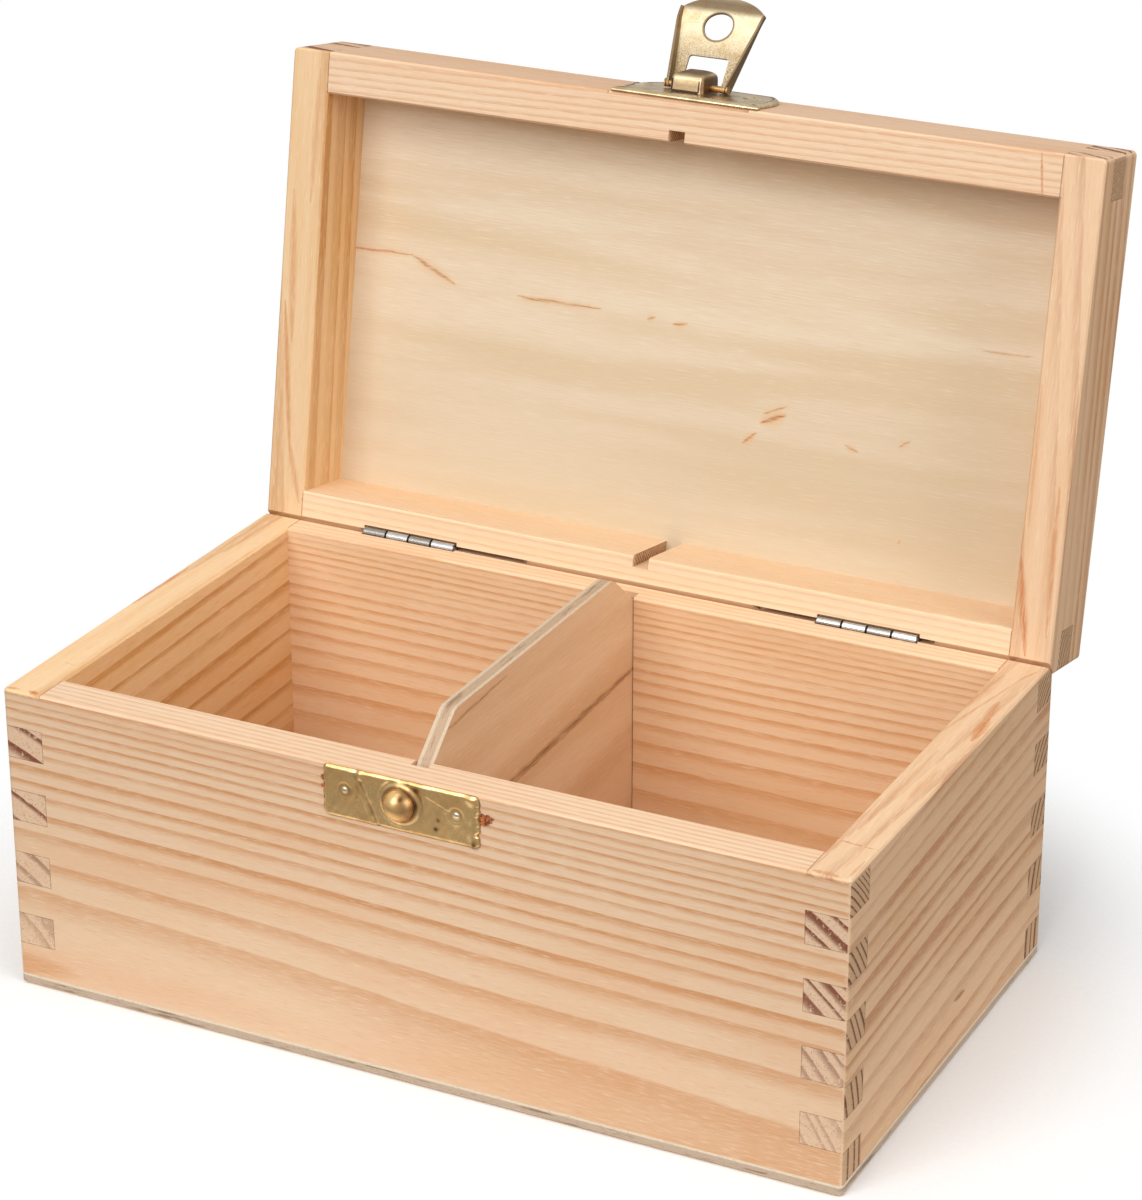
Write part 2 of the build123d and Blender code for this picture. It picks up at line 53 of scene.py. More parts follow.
# %% sizes in millimetres
MM = 0.001
LENGTH, WIDTH, WALL = 165.0, 95.0, 8.0
FLOOR, FINGER = 2.3, 6.35
RIM, LID_RIM, LID_TOP = 60.2, 60.3, 77.8
LID_FIRST_LAYER = LID_RIM + 4.8
HINGE_Y, HINGE_Z, LID_OPEN = 45.1, 60.25, 100.0
LATCH_X = -0.75
HALF_L, HALF_W = LENGTH / 2, WIDTH / 2
PIN_Y, PIN_Z = -HALF_W - 1.9, LID_RIM + 8.3
HASP_OPEN, HASP_TILT, HASP_STAND = 124.3, 5.7, 1.6


def lid_rotation():
    """The turn that shuts the lid again, about the hinge line."""
    return Matrix.Rotation(math.radians(LID_OPEN), 3, "X")


def open_lid_points(points):
    """Points drawn with the lid shut (n x 3, mm) turned to where they lie with the lid open."""
    turn = np.array(lid_rotation().transposed())
    centre = np.array([0.0, HINGE_Y, HINGE_Z])
    return (points - centre) @ turn.T + centre


# %% [markdown]
# Real wood is not painted on: its pattern is a cut through a solid. The same is done here with
# shader nodes, which can measure where a point lies inside the board. A tiny helper keeps the node
# trees readable: each method adds one node and gives back its output socket.

# %% a small writer for node trees
class Tree:
    """Adds nodes to one material; numbers and sockets can be mixed freely as inputs."""

    def __init__(self, name):
        self.material = bpy.data.materials.new(name)
        self.material.use_nodes = True
        self.nodes = self.material.node_tree.nodes
        self.links = self.material.node_tree.links
        self.nodes.clear()

    def add(self, kind, **settings):
        """A new node of this kind, with its settings."""
        node = self.nodes.new(kind)
        for key, value in settings.items():
            setattr(node, key, value)
        return node

    def put(self, socket, value):
        """Link a socket, or write a plain number or tuple, into an input."""
        if hasattr(value, "links"):
            self.links.new(value, socket)
        elif value is not None:
            socket.default_value = value

    def math(self, operation, a, b=None, clamp=False):
        """One Math node on one or two inputs."""
        node = self.add("ShaderNodeMath", operation=operation, use_clamp=clamp)
        for socket, value in zip(node.inputs, (a, b)):
            self.put(socket, value)
        return node.outputs[0]

    def plus(self, a, b):
        """The sum of two inputs."""
        return self.math("ADD", a, b)

    def minus(self, a, b):
        """The first input less the second."""
        return self.math("SUBTRACT", a, b)

    def times(self, a, b):
        """The product of two inputs."""
        return self.math("MULTIPLY", a, b)

    def smooth(self, value, low, high):
        """0 below low, 1 above high and an S-shaped step between (low may be the larger one)."""
        node = self.add("ShaderNodeMapRange", interpolation_type="SMOOTHSTEP")
        flip = low > high
        self.put(node.inputs[0], value)
        self.put(node.inputs[1], min(low, high))
        self.put(node.inputs[2], max(low, high))
        self.put(node.inputs[3], 1.0 if flip else 0.0)
        self.put(node.inputs[4], 0.0 if flip else 1.0)
        return node.outputs[0]

    def bump_of(self, value, centre, reach):
        """1 at the centre, falling to 0 at the given reach on both sides."""
        distance = self.math("ABSOLUTE", self.minus(value, centre))
        return self.smooth(distance, reach, 0.0)

    def vector(self, x, y, z):
        """Three inputs as one vector."""
        node = self.add("ShaderNodeCombineXYZ")
        for socket, value in zip(node.inputs, (x, y, z)):
            self.put(socket, value)
        return node.outputs[0]

    def parts(self, vector):
        """The x, y and z of a vector."""
        node = self.add("ShaderNodeSeparateXYZ")
        self.put(node.inputs[0], vector)
        return node.outputs[0], node.outputs[1], node.outputs[2]

    def noise(self, vector, scale=1.0, detail=2.0, roughness=0.5, distortion=0.0):
        """Cloudy noise round 0.5."""
        node = self.add("ShaderNodeTexNoise")
        self.put(node.inputs["Vector"], vector)
        self.put(node.inputs["Scale"], scale)
        self.put(node.inputs["Detail"], detail)
        self.put(node.inputs["Roughness"], roughness)
        self.put(node.inputs["Distortion"], distortion)
        return node.outputs[0]

    def swing(self, vector, amount, **settings):
        """The same noise moved to lie round 0 and scaled."""
        return self.times(self.minus(self.noise(vector, **settings), 0.5), 2 * amount)

    def cells(self, vector):
        """The distance to the nearest of scattered points, about one per unit, and that point's colour."""
        node = self.add("ShaderNodeTexVoronoi", feature="F1")
        self.put(node.inputs["Vector"], vector)
        self.put(node.inputs["Scale"], 1.0)
        self.put(node.inputs["Randomness"], 1.0)
        return node.outputs["Distance"], node.outputs["Color"]

    def dice(self, vector):
        """One fixed random number for each whole-numbered place."""
        node = self.add("ShaderNodeTexWhiteNoise", noise_dimensions="3D")
        self.put(node.inputs["Vector"], vector)
        return node.outputs[0]

    def mix(self, factor, a, b):
        """A blend of two colours: the first at factor 0, the second at 1."""
        node = self.add("ShaderNodeMix", data_type="RGBA", blend_type="MIX")
        self.put(node.inputs[0], factor)
        self.put(node.inputs[6], a)
        self.put(node.inputs[7], b)
        return node.outputs[2]

    def place(self, lid=False):
        """Where a point lies in millimetres, and its normal; both with the lid shut."""
        source = self.add("ShaderNodeTexCoord")
        angle = math.radians(LID_OPEN if lid else 0.0)
        spot = self.add("ShaderNodeMapping", vector_type="POINT")
        facing = self.add("ShaderNodeMapping", vector_type="VECTOR")
        centre = Vector((0.0, HINGE_Y, HINGE_Z))
        turn = Matrix.Rotation(angle, 3, "X")
        self.put(spot.inputs["Vector"], source.outputs["Object"])
        self.put(spot.inputs["Scale"], (1 / MM, 1 / MM, 1 / MM))
        self.put(spot.inputs["Rotation"], (angle, 0.0, 0.0))
        self.put(spot.inputs["Location"], tuple(centre - turn @ centre))
        self.put(facing.inputs["Vector"], source.outputs["Normal"])
        self.put(facing.inputs["Rotation"], (angle, 0.0, 0.0))
        return self.parts(spot.outputs[0]), self.parts(facing.outputs[0])

    def bump(self, height, distance, strength):
        """A normal tilted by a height; distance is how many metres a height of 1 stands for."""
        node = self.add("ShaderNodeBump")
        self.put(node.inputs["Height"], height)
        self.put(node.inputs["Distance"], distance)
        self.put(node.inputs["Strength"], strength)
        return node.outputs[0]

    def stroke(self, u, v, start, end, width):
        """1 along a line from start to end, falling to 0 at about width beside it, thinner at both ends."""
        run = (end[0] - start[0], end[1] - start[1])
        length2 = run[0] ** 2 + run[1] ** 2
        du = self.minus(u, start[0])
        dv = self.minus(v, start[1])
        share = self.plus(self.times(du, run[0] / length2), self.times(dv, run[1] / length2))
        share = self.math("MULTIPLY", share, 1.0, clamp=True)
        off_u = self.minus(du, self.times(share, run[0]))
        off_v = self.minus(dv, self.times(share, run[1]))
        gap = self.math("SQRT", self.plus(self.times(off_u, off_u), self.times(off_v, off_v)))
        from_middle = self.minus(self.times(share, 2.0), 1.0)
        taper = self.minus(1.0, self.times(self.times(from_middle, from_middle), 0.75))
        gap = self.math("DIVIDE", gap, taper)
        return self.smooth(gap, width * 1.25, 0.0)

    def strokes(self, u, v, lines):
        """The strongest of several strokes; a line is (u0, v0, u1, v1, width, strength)."""
        total = 0.0
        for u0, v0, u1, v1, width, strength in lines:
            one = self.times(self.stroke(u, v, (u0, v0), (u1, v1), width), strength)
            total = self.math("MAXIMUM", total, one)
        return total

    def attribute(self, name):
        """The value that a mesh stores at its points under this name."""
        node = self.add("ShaderNodeAttribute", attribute_name=name)
        return node.outputs["Fac"]

    def principled(self, **values):
        """One Principled shader; the names are its inputs with _ for spaces."""
        shader = self.add("ShaderNodeBsdfPrincipled")
        for key, value in values.items():
            self.put(shader.inputs[key.replace("_", " ")], value)
        return shader.outputs[0]

    def either(self, factor, first, second):
        """A blend of two shaders: the first at factor 0, the second at 1."""
        node = self.add("ShaderNodeMixShader")
        self.put(node.inputs[0], factor)
        self.links.new(first, node.inputs[1])
        self.links.new(second, node.inputs[2])
        return node.outputs[0]

    def close(self, shader):
        """Lead the shader to the output, and hand over the finished material."""
        output = self.add("ShaderNodeOutputMaterial")
        self.links.new(shader, output.inputs[0])
        return self.material


def colour(red, green, blue):
    """A colour named by its usual 0 to 255 screen values, as the linear numbers a shader needs."""
    def linear(value):
        """One channel by the screen curve: straight near black, a power of 2.4 above it."""
        share = value / 255.0
        return share / 12.92 if share <= 0.04045 else ((share + 0.055) / 1.055) ** 2.4
    return (linear(red), linear(green), linear(blue), 1.0)


def dress(material, *names):
    """Give whole pieces of the model one material."""
    for name in names:
        nodes[name].data.materials.clear()
        nodes[name].data.materials.append(material)


# %% [markdown]
# Pine, as a cut through a trunk. Each board knows where the heart of its tree was: a line along
# the board, a few centimetres outside its face and slightly askew. A year ring is a surface at one
# distance from that line. Rings were wide while the tree was young and grow narrower outwards,
# which a logarithm of the distance gives. Each ring starts pale, darkens slowly and stops sharply.
# Where a cut lies flat to the rings the bands are broad and soft, and where it meets them square
# they are thin lines: the front board shows both, with no drawing by hand.

# %% pine in depth
def year_rings(tree, s, depth, z, board):
    """How far a point is into its year (0 to 1), and which year, from its distance to the tree's heart.

    board["heart"] is how far outside the outer face the heart lies and how high; "first" is the
    distance of ring 0, "width" its width and "narrowing" how fast rings get thinner outwards;
    "askew" and "climb" are the heart's drift sideways and upwards, in mm per mm along the board,
    and "wander" is how far the rings stray.
    """
    seed = board["seed"]
    slow = tree.vector(tree.plus(tree.times(s, 0.012), seed), tree.times(depth, 0.05), tree.times(z, 0.03))
    quick = tree.vector(tree.plus(tree.times(s, 0.055), seed), tree.times(depth, 0.15), tree.times(z, 0.11))
    stray = tree.plus(
        tree.swing(slow, board["wander"], detail=0.0), tree.swing(quick, board["wander"] * 0.3, detail=1.0)
    )
    heart_out, heart_high = board["heart"]
    out = tree.plus(tree.plus(depth, heart_out), tree.plus(tree.times(s, board["askew"]), stray))
    up = tree.minus(z, tree.plus(heart_high, tree.times(s, board["climb"])))
    distance = tree.math("SQRT", tree.plus(tree.times(out, out), tree.times(up, up)))
    thinning = board["narrowing"] / board["width"]
    shrink = tree.minus(1.0, tree.times(tree.minus(distance, board["first"]), thinning))
    shrink = tree.math("MAXIMUM", shrink, 0.05)
    rings = tree.math("DIVIDE", tree.math("LOGARITHM", shrink, math.e), -board["narrowing"])
    uneven = tree.swing(tree.vector(tree.times(distance, 0.3), seed, 0.0), board["uneven"], detail=0.0)
    rings = tree.plus(rings, uneven)
    return tree.math("FRACT", rings), tree.math("FLOOR", rings)


def pine(name, lid, board):
    """A pine board's material: long faces and end grain, both cut from the same rings."""
    tree = Tree(name)
    (x, y, z), (nx, ny, nz) = tree.place(lid)
    along_x = board["along"] == "x"
    s, t = (x, y) if along_x else (y, x)
    half_across = HALF_W if along_x else HALF_L
    depth = tree.minus(half_across, tree.times(t, board["side"]))
    end = tree.math("GREATER_THAN", tree.math("ABSOLUTE", nx if along_x else ny), 0.8)
    part, year = year_rings(tree, s, depth, z, board)
    late = tree.times(tree.smooth(part, board["rise"], 0.88), tree.smooth(part, 1.0, 0.95))
    vigour = tree.plus(0.6, tree.times(tree.dice(tree.vector(year, board["seed"], 0.0)), 0.5))
    light, dark, warm = board["light"], board["dark"], board["warm"]
    # Long faces: rings, fibres, slow clouds and the pale dashes of resin canals
    fibre = tree.noise(
        tree.vector(tree.times(s, 0.25), tree.times(depth, 3.6), tree.times(z, 3.6)),
        detail=2.0, roughness=0.7,
    )
    cloud = tree.noise(
        tree.vector(
            tree.plus(tree.times(s, 0.016), board["seed"]), tree.times(depth, 0.5), tree.times(z, 0.09)
        ),
        detail=2.0,
    )
    canal_spot = tree.vector(tree.times(s, 0.13), tree.times(depth, 2.2), tree.times(z, 2.2))
    canal_gap, canal_tone = tree.cells(canal_spot)
    canal = tree.times(tree.smooth(canal_gap, 0.2, 0.1), tree.smooth(tree.parts(canal_tone)[0], 0.88, 0.9))
    patchy = tree.times(tree.smooth(cloud, 0.35, 0.6), 2.0 * board["patchy"])
    patchy = tree.plus(1.0 - board["patchy"], patchy)
    broken = tree.times(tree.plus(0.7, tree.times(tree.smooth(fibre, 0.3, 0.6), 0.5)), patchy)
    broken = tree.times(broken, tree.plus(1.0, tree.times(tree.smooth(z, 24.0, 8.0), board["low_boost"])))
    face = tree.mix(tree.times(tree.times(tree.times(late, vigour), broken), board["contrast"]), light, dark)
    face = tree.mix(tree.times(tree.smooth(cloud, 0.4, 0.72), 0.45), face, warm)
    face = tree.mix(tree.times(tree.smooth(fibre, 0.52, 0.78), 0.36), face, dark)
    face = tree.mix(tree.times(tree.smooth(fibre, 0.46, 0.22), 0.42), face, board["pale"])
    face = tree.mix(tree.times(canal, 0.5), face, board["pale"])
    # The sawn rim is paler, as it was never sanded, and shows where the boards meet
    rim_face = tree.smooth(tree.math("ABSOLUTE", nz), 0.6, 0.8)
    rim_level = LID_RIM if lid else RIM
    rim_face = tree.times(rim_face, tree.bump_of(z, rim_level, 0.6))
    face = tree.mix(tree.times(rim_face, 0.25), face, board["pale"])
    ragged = tree.swing(tree.vector(x, y, z), 0.14, scale=2.2, detail=2.0)
    inner_end = (HALF_W if along_x else HALF_L) - WALL
    inner_gap = tree.plus(tree.math("ABSOLUTE", tree.minus(tree.math("ABSOLUTE", t), inner_end)), ragged)
    corner = tree.math("GREATER_THAN", tree.math("ABSOLUTE", s), (HALF_L if along_x else HALF_W) - WALL)
    butt = tree.times(tree.times(tree.smooth(inner_gap, 0.3, 0.06), rim_face), corner)
    face = tree.mix(tree.times(butt, 0.0 if along_x else 0.75), face, colour(150, 92, 60))
    torn_marks = tree.strokes(tree.plus(x, ragged), tree.plus(y, ragged), board["rim_marks"])
    torn_marks = tree.times(torn_marks, tree.plus(0.6, tree.times(tree.smooth(fibre, 0.35, 0.6), 0.5)))
    face = tree.mix(tree.times(torn_marks, rim_face), face, colour(198, 118, 60))
    if board["marks"]:
        knots = tree.strokes(tree.plus(s, ragged), tree.plus(z, ragged), board["marks"])
        outer_face = tree.smooth(depth, 1.0, 0.2)
        face = tree.mix(tree.times(knots, outer_face), face, colour(150, 92, 58))
    # Painted highlight: the eased vertical corners are made paler, as their rounding would catch the light
    near_x = tree.smooth(tree.minus(HALF_L, tree.math("ABSOLUTE", x)), 0.7, 0.1)
    near_y = tree.smooth(tree.minus(HALF_W, tree.math("ABSOLUTE", y)), 0.7, 0.1)
    face = tree.mix(tree.times(tree.times(near_x, near_y), 0.5), face, board["pale"])
    long_shader = tree.principled(
        Base_Color=face,
        Roughness=tree.plus(0.5, tree.times(fibre, 0.16)),
        Specular_IOR_Level=0.3,
        Normal=tree.bump(fibre, 0.00009, 0.5),
    )
    # End grain: pale and dusty, with hard dark rings, open pores and a glue line round each finger
    torn_spot = tree.vector(tree.times(s, 0.3), tree.times(t, 1.1), tree.times(z, 1.1))
    torn = tree.noise(torn_spot, detail=3.0, roughness=0.7)
    hard = tree.times(tree.smooth(part, board["end_rise"], 0.85), tree.smooth(part, 1.0, 0.95))
    hard = tree.times(hard, tree.smooth(torn, 0.28, 0.46))
    low, high = board["end_fade"]
    hard = tree.times(hard, tree.plus(0.35, tree.times(tree.smooth(z, low, high), 0.65)))
    end_face = tree.mix(tree.times(hard, 0.95), board["end_light"], board["end_dark"])
    end_face = tree.mix(tree.times(tree.smooth(torn, 0.52, 0.72), 0.4), end_face, dark)
    pore = tree.smooth(
        tree.noise(tree.vector(tree.times(s, 0.3), tree.times(t, 4.5), tree.times(z, 4.5)), detail=0.0),
        0.68, 0.76,
    )
    end_face = tree.mix(tree.times(pore, 0.55), end_face, colour(120, 74, 50))
    layer = tree.math("DIVIDE", tree.minus(z, LID_FIRST_LAYER if lid else FLOOR), FINGER)
    layer_gap = tree.times(tree.math("ABSOLUTE", tree.minus(layer, tree.math("ROUND", layer))), FINGER)
    glue = tree.smooth(tree.math("MINIMUM", tree.plus(layer_gap, ragged), inner_gap), 0.2, 0.04)
    end_face = tree.mix(tree.times(glue, 0.6), end_face, colour(126, 78, 52))
    # The last thin layer under the saw cut is torn and soaked with resin
    thin = tree.bump_of(z, rim_level, 1.7)
    end_face = tree.mix(tree.times(thin, 0.75), end_face, tree.mix(torn, board["pale"], colour(214, 146, 96)))
    end_face = tree.mix(tree.times(thin, torn_marks), end_face, colour(168, 84, 44))
    end_shader = tree.principled(
        Base_Color=end_face,
        Roughness=0.72,
        Specular_IOR_Level=0.25,
        Normal=tree.bump(torn, -0.0002, 0.5),
    )
    return tree.close(tree.either(end, long_shader, end_shader))


# Front and back are cut from one plank, with narrow rings; the sides from another, with wide ones
NARROW = dict(
    along="x", width=2.6, first=46.7, narrowing=0.06, wander=0.5, climb=0.0, contrast=0.82,
    rise=0.4, end_rise=0.55,
    end_fade=(-10.0, -5.0), marks=[], rim_marks=[], patchy=0.15, uneven=0.35, low_boost=0.0,
    light=colour(233, 199, 165), dark=colour(206, 147, 98),
    warm=colour(226, 175, 132), pale=colour(248, 224, 194),
    end_light=colour(208, 170, 132), end_dark=colour(104, 60, 38),
)
WIDE = dict(
    along="y", narrowing=-0.012, askew=0.0, contrast=0.75, rise=0.4, end_rise=0.42,
    end_fade=(14.0, 42.0), marks=[],
    patchy=0.45, uneven=0.6, low_boost=0.0,
    light=colour(230, 190, 150), dark=colour(194, 140, 102),
    warm=colour(214, 160, 108), pale=colour(248, 222, 188),
    end_light=colour(228, 194, 162), end_dark=colour(126, 64, 44),
)
BOARDS = dict(
    front=dict(NARROW, side=-1.0, heart=(45.0, 5.0), askew=0.016, seed=3.0),
    # Painted light: the back board is from the front's plank but gets lighter colours, to offset the shade
    # inside the box
    back=dict(
        NARROW, side=1.0, heart=(45.0, 3.0), askew=0.003, seed=11.0, width=2.5, first=51.0,
        contrast=0.7, low_boost=0.6,
        light=colour(243, 207, 168), dark=colour(218, 160, 106), warm=colour(234, 186, 136),
        pale=colour(248, 224, 192),
    ),
    # Painted light: the left board, from the same plank as the right, gets lighter and more orange colours
    # for the shaded inside of the box
    left=dict(
        WIDE, side=-1.0, heart=(22.0, -11.0), climb=0.03, wander=0.9, seed=23.0, width=4.0, first=24.0,
        light=colour(240, 200, 150), dark=colour(206, 148, 88), warm=colour(228, 172, 104), contrast=0.9,
        rim_marks=[(-77.4, -46.2, -75.2, -46.9, 0.9, 0.95), (-82.0, -46.7, -79.6, -46.3, 0.6, 0.6),
                   (-74.3, -46.8, -74.7, -39.8, 0.2, 0.7), (-81.9, -5.0, -81.6, 14.0, 0.6, 0.6),
                   (-79.6, 24.0, -78.6, 40.0, 0.8, 0.35), (-75.1, -26.0, -74.9, 32.0, 0.6, 0.3),
                   (-79.0, -33.0, -76.0, -33.4, 0.2, 0.35)],
    ),
    right=dict(
        WIDE, side=1.0, heart=(-50.0, -12.0), climb=0.05, wander=1.0, seed=31.0, width=2.4, first=52.0,
        marks=[(3.0, 12.2, 8.0, 11.9, 0.8, 0.75)],
        rim_marks=[(74.0, -34.8, 81.6, -35.5, 0.35, 0.8), (75.4, -46.6, 80.2, -47.0, 1.0, 0.55),
                   (81.6, -46.0, 81.8, -40.0, 0.5, 0.4), (81.0, 10.0, 80.4, 20.0, 1.3, 0.85),
                   (80.2, 18.0, 79.6, 27.0, 1.1, 0.5), (79.6, -16.0, 80.4, -3.0, 1.1, 0.35),
                   (74.2, 7.8, 79.7, 37.4, 0.35, 0.45), (79.7, 37.4, 81.2, 42.0, 0.35, 0.5),
                   (75.0, 22.0, 76.4, 38.0, 1.3, 0.3), (76.4, -30.0, 77.2, 4.0, 0.8, 0.28),
                   (75.0, -44.0, 75.4, -18.0, 0.6, 0.25), (79.6, -44.0, 80.2, -20.0, 0.7, 0.2)],
    ),
)
LID_MARKS = dict(
    right=[(74.8, 26.0, 77.6, 44.0, 1.0, 0.75), (80.6, 12.0, 81.2, 40.0, 0.7, 0.5),
           (75.2, -6.0, 75.6, 20.0, 0.5, 0.35)],
    left=[(-76.4, -44.0, -76.8, -18.0, 0.9, 0.4), (-80.6, -20.0, -79.2, 10.0, 1.0, 0.4),
          (-81.2, 2.0, -78.2, 32.0, 0.8, 0.6), (-78.4, 30.0, -75.4, 42.0, 0.9, 0.45)],
    front=[(70.4, -47.4, 71.4, -38.9, 0.3, 0.75)],
)
for board_name, board in BOARDS.items():
    dress(pine("pine_" + board_name, False, board), board_name + "_wall")
    lid_board = {**board, "marks": [], "rim_marks": LID_MARKS.get(board_name, [])}
    # Painted shade: the lid's left rail gets darker colours than the box's left board it was sawn from; its
    # back rail gets lighter colours than the box's back board
    if board_name == "left":
        lid_board.update(light=colour(230, 192, 144), warm=colour(219, 166, 100), dark=colour(198, 143, 85))
    if board_name == "back":
        lid_board.update(light=colour(243, 213, 177), warm=colour(237, 197, 152), dark=colour(222, 171, 123))
    dress(pine("pine_lid_" + board_name, True, lid_board), "lid_" + board_name + "_rail")
print("pine boards dressed:", 2 * len(BOARDS))

# %% [markdown]
# Plywood is thin veneers glued with their grain crossing. Its faces are quiet, with long fine
# figure, and its edges show the layers as bands. The bottom sheet and the divider show both.

# %% plywood
def plywood(name, lid, sheet):
    """A sheet of three veneers; sheet["across"] is the axis through it, which runs from low to high mm."""
    tree = Tree(name)
    place, facing = tree.place(lid)
    axes = "xyz"
    across = place[axes.index(sheet["across"])]
    along = place[axes.index(sheet["grain"])]
    other = place[[n for n in range(3) if axes[n] not in (sheet["across"], sheet["grain"])][0]]
    edge = tree.math("LESS_THAN", tree.math("ABSOLUTE", facing[axes.index(sheet["across"])]), 0.65)
    fine = tree.noise(
        tree.vector(tree.times(along, 0.16), tree.times(other, 3.2), sheet["seed"]),
        detail=3.0, roughness=0.75,
    )
    broad = tree.noise(
        tree.vector(tree.times(along, 0.008), tree.times(other, 0.1), sheet["seed"]),
        detail=2.0, distortion=0.3,
    )
    light, dark = sheet["light"], sheet["dark"]
    face = tree.mix(tree.smooth(broad, 0.38, 0.66), light, dark)
    face = tree.mix(tree.times(tree.smooth(fine, 0.48, 0.74), 0.6), face, dark)
    face = tree.mix(tree.times(tree.smooth(fine, 0.5, 0.28), 0.5), face, sheet["pale"])
    if "hinge_end_shade" in sheet:  # painted shade: darker towards the hinge end, the low part of the open lid, to even out the stronger lamp light there
        face = tree.mix(tree.times(tree.smooth(other, -34.0, 44.0), 0.58), face, sheet["hinge_end_shade"])
    wobble = tree.swing(tree.vector(tree.times(along, 0.25), tree.times(other, 0.6), 3.0), 0.5, detail=2.0)
    streak = tree.strokes(along, tree.plus(other, wobble), sheet["marks"])
    streak = tree.times(streak, tree.plus(0.25, tree.times(tree.smooth(fine, 0.35, 0.6), 0.6)))
    halo = [
        (u0, v0, u1, v1, 3.5 * width, 0.4 * strength)
        for u0, v0, u1, v1, width, strength in sheet["marks"]
    ]
    face = tree.mix(tree.strokes(along, tree.plus(other, wobble), halo), face, sheet["glow"])
    face = tree.mix(streak, face, sheet["streak"])
    face_shader = tree.principled(
        Base_Color=face,
        Roughness=tree.plus(0.52, tree.times(fine, 0.16)),
        Specular_IOR_Level=0.3,
        Normal=tree.bump(fine, 0.00008, 0.5),
    )
    # The edge: veneers as bands, the middle one cut across its grain
    share = tree.math("DIVIDE", tree.minus(across, sheet["low"]), sheet["high"] - sheet["low"])
    patch = tree.noise(
        tree.vector(tree.times(along, 0.09), tree.times(other, 0.09), tree.plus(across, sheet["seed"])),
        detail=3.0, roughness=0.65,
    )
    share = tree.plus(share, tree.times(tree.minus(patch, 0.5), 0.12))
    middle = tree.times(tree.smooth(share, 0.18, 0.26), tree.smooth(share, 0.82, 0.74))
    hair = tree.noise(
        tree.vector(tree.times(along, 1.4), tree.times(other, 1.4), tree.times(across, 3.0)),
        detail=2.0, roughness=0.7,
    )
    outer_tone, middle_tone, dark_tone = sheet["edge"]
    edge_face = tree.mix(middle, outer_tone, middle_tone)
    stained = tree.times(tree.smooth(patch, 0.56, 0.66), tree.times(middle, 0.7))
    edge_face = tree.mix(stained, edge_face, dark_tone)
    edge_face = tree.mix(tree.times(tree.smooth(hair, 0.5, 0.78), 0.35), edge_face, dark_tone)
    edge_shader = tree.principled(
        Base_Color=edge_face, Roughness=0.75, Specular_IOR_Level=0.22, Normal=tree.bump(hair, 0.0002, 0.6)
    )
    return tree.close(tree.either(edge, face_shader, edge_shader))


BOTTOM_EDGE = (colour(232, 214, 190), colour(196, 174, 152), colour(126, 98, 76))
SHEETS = dict(
    bottom_panel=dict(
        across="z", grain="x", low=0.0, high=FLOOR, seed=2.0,
        light=colour(228, 194, 152), dark=colour(208, 164, 116), pale=colour(240, 216, 182),
        streak=colour(150, 100, 60), glow=colour(214, 168, 120), edge=BOTTOM_EDGE, marks=[],
    ),
    divider=dict(
        across="x", grain="y", low=-1.8, high=1.2, seed=5.0,
        light=colour(232, 196, 158), dark=colour(218, 176, 134),
        pale=colour(240, 212, 178), streak=colour(132, 78, 42), glow=colour(214, 168, 120),
        edge=(colour(212, 190, 164), colour(192, 164, 136), colour(140, 108, 80)),
        marks=[(-20.0, 43.4, 46.0, 45.6, 1.0, 1.0), (-20.0, 42.6, 36.0, 44.7, 0.5, 0.8),
               (-41.0, 63.8, -12.0, 65.4, 0.4, 0.8)],
    ),
    lid_panel=dict(
        across="z", grain="x", low=75.5, high=LID_TOP, seed=9.0,
        light=colour(238, 220, 193), dark=colour(226, 202, 166), hinge_end_shade=colour(205, 186, 157),
        pale=colour(249, 237, 217), streak=colour(172, 94, 26), glow=colour(226, 170, 98), edge=BOTTOM_EDGE,
        marks=[(-76.0, -7.6, -62.0, -8.0, 0.35, 0.7), (-62.0, -8.0, -52.0, -3.6, 0.5, 0.75),
               (-38.0, -3.2, -20.0, -3.5, 0.32, 0.85), (-10.0, -3.0, -8.4, -3.6, 0.3, 0.7),
               (-4.5, -2.8, -1.5, -3.4, 0.3, 0.75), (58.0, -7.3, 68.0, -7.6, 0.25, 0.5),
               (12.0, 17.6, 14.6, 15.4, 0.35, 0.8), (15.4, 13.2, 20.2, 11.0, 0.6, 1.0),
               (15.8, 11.4, 20.4, 9.2, 0.3, 0.7), (33.0, 14.6, 35.6, 15.6, 0.35, 0.7),
               (43.6, 13.4, 45.8, 11.6, 0.3, 0.6), (45.4, 31.8, 45.8, 30.6, 0.3, 0.4)],
    ),
)
for sheet_name, sheet in SHEETS.items():
    dress(plywood("ply_" + sheet_name, sheet_name == "lid_panel", sheet), sheet_name)
print("plywood sheets dressed:", len(SHEETS))
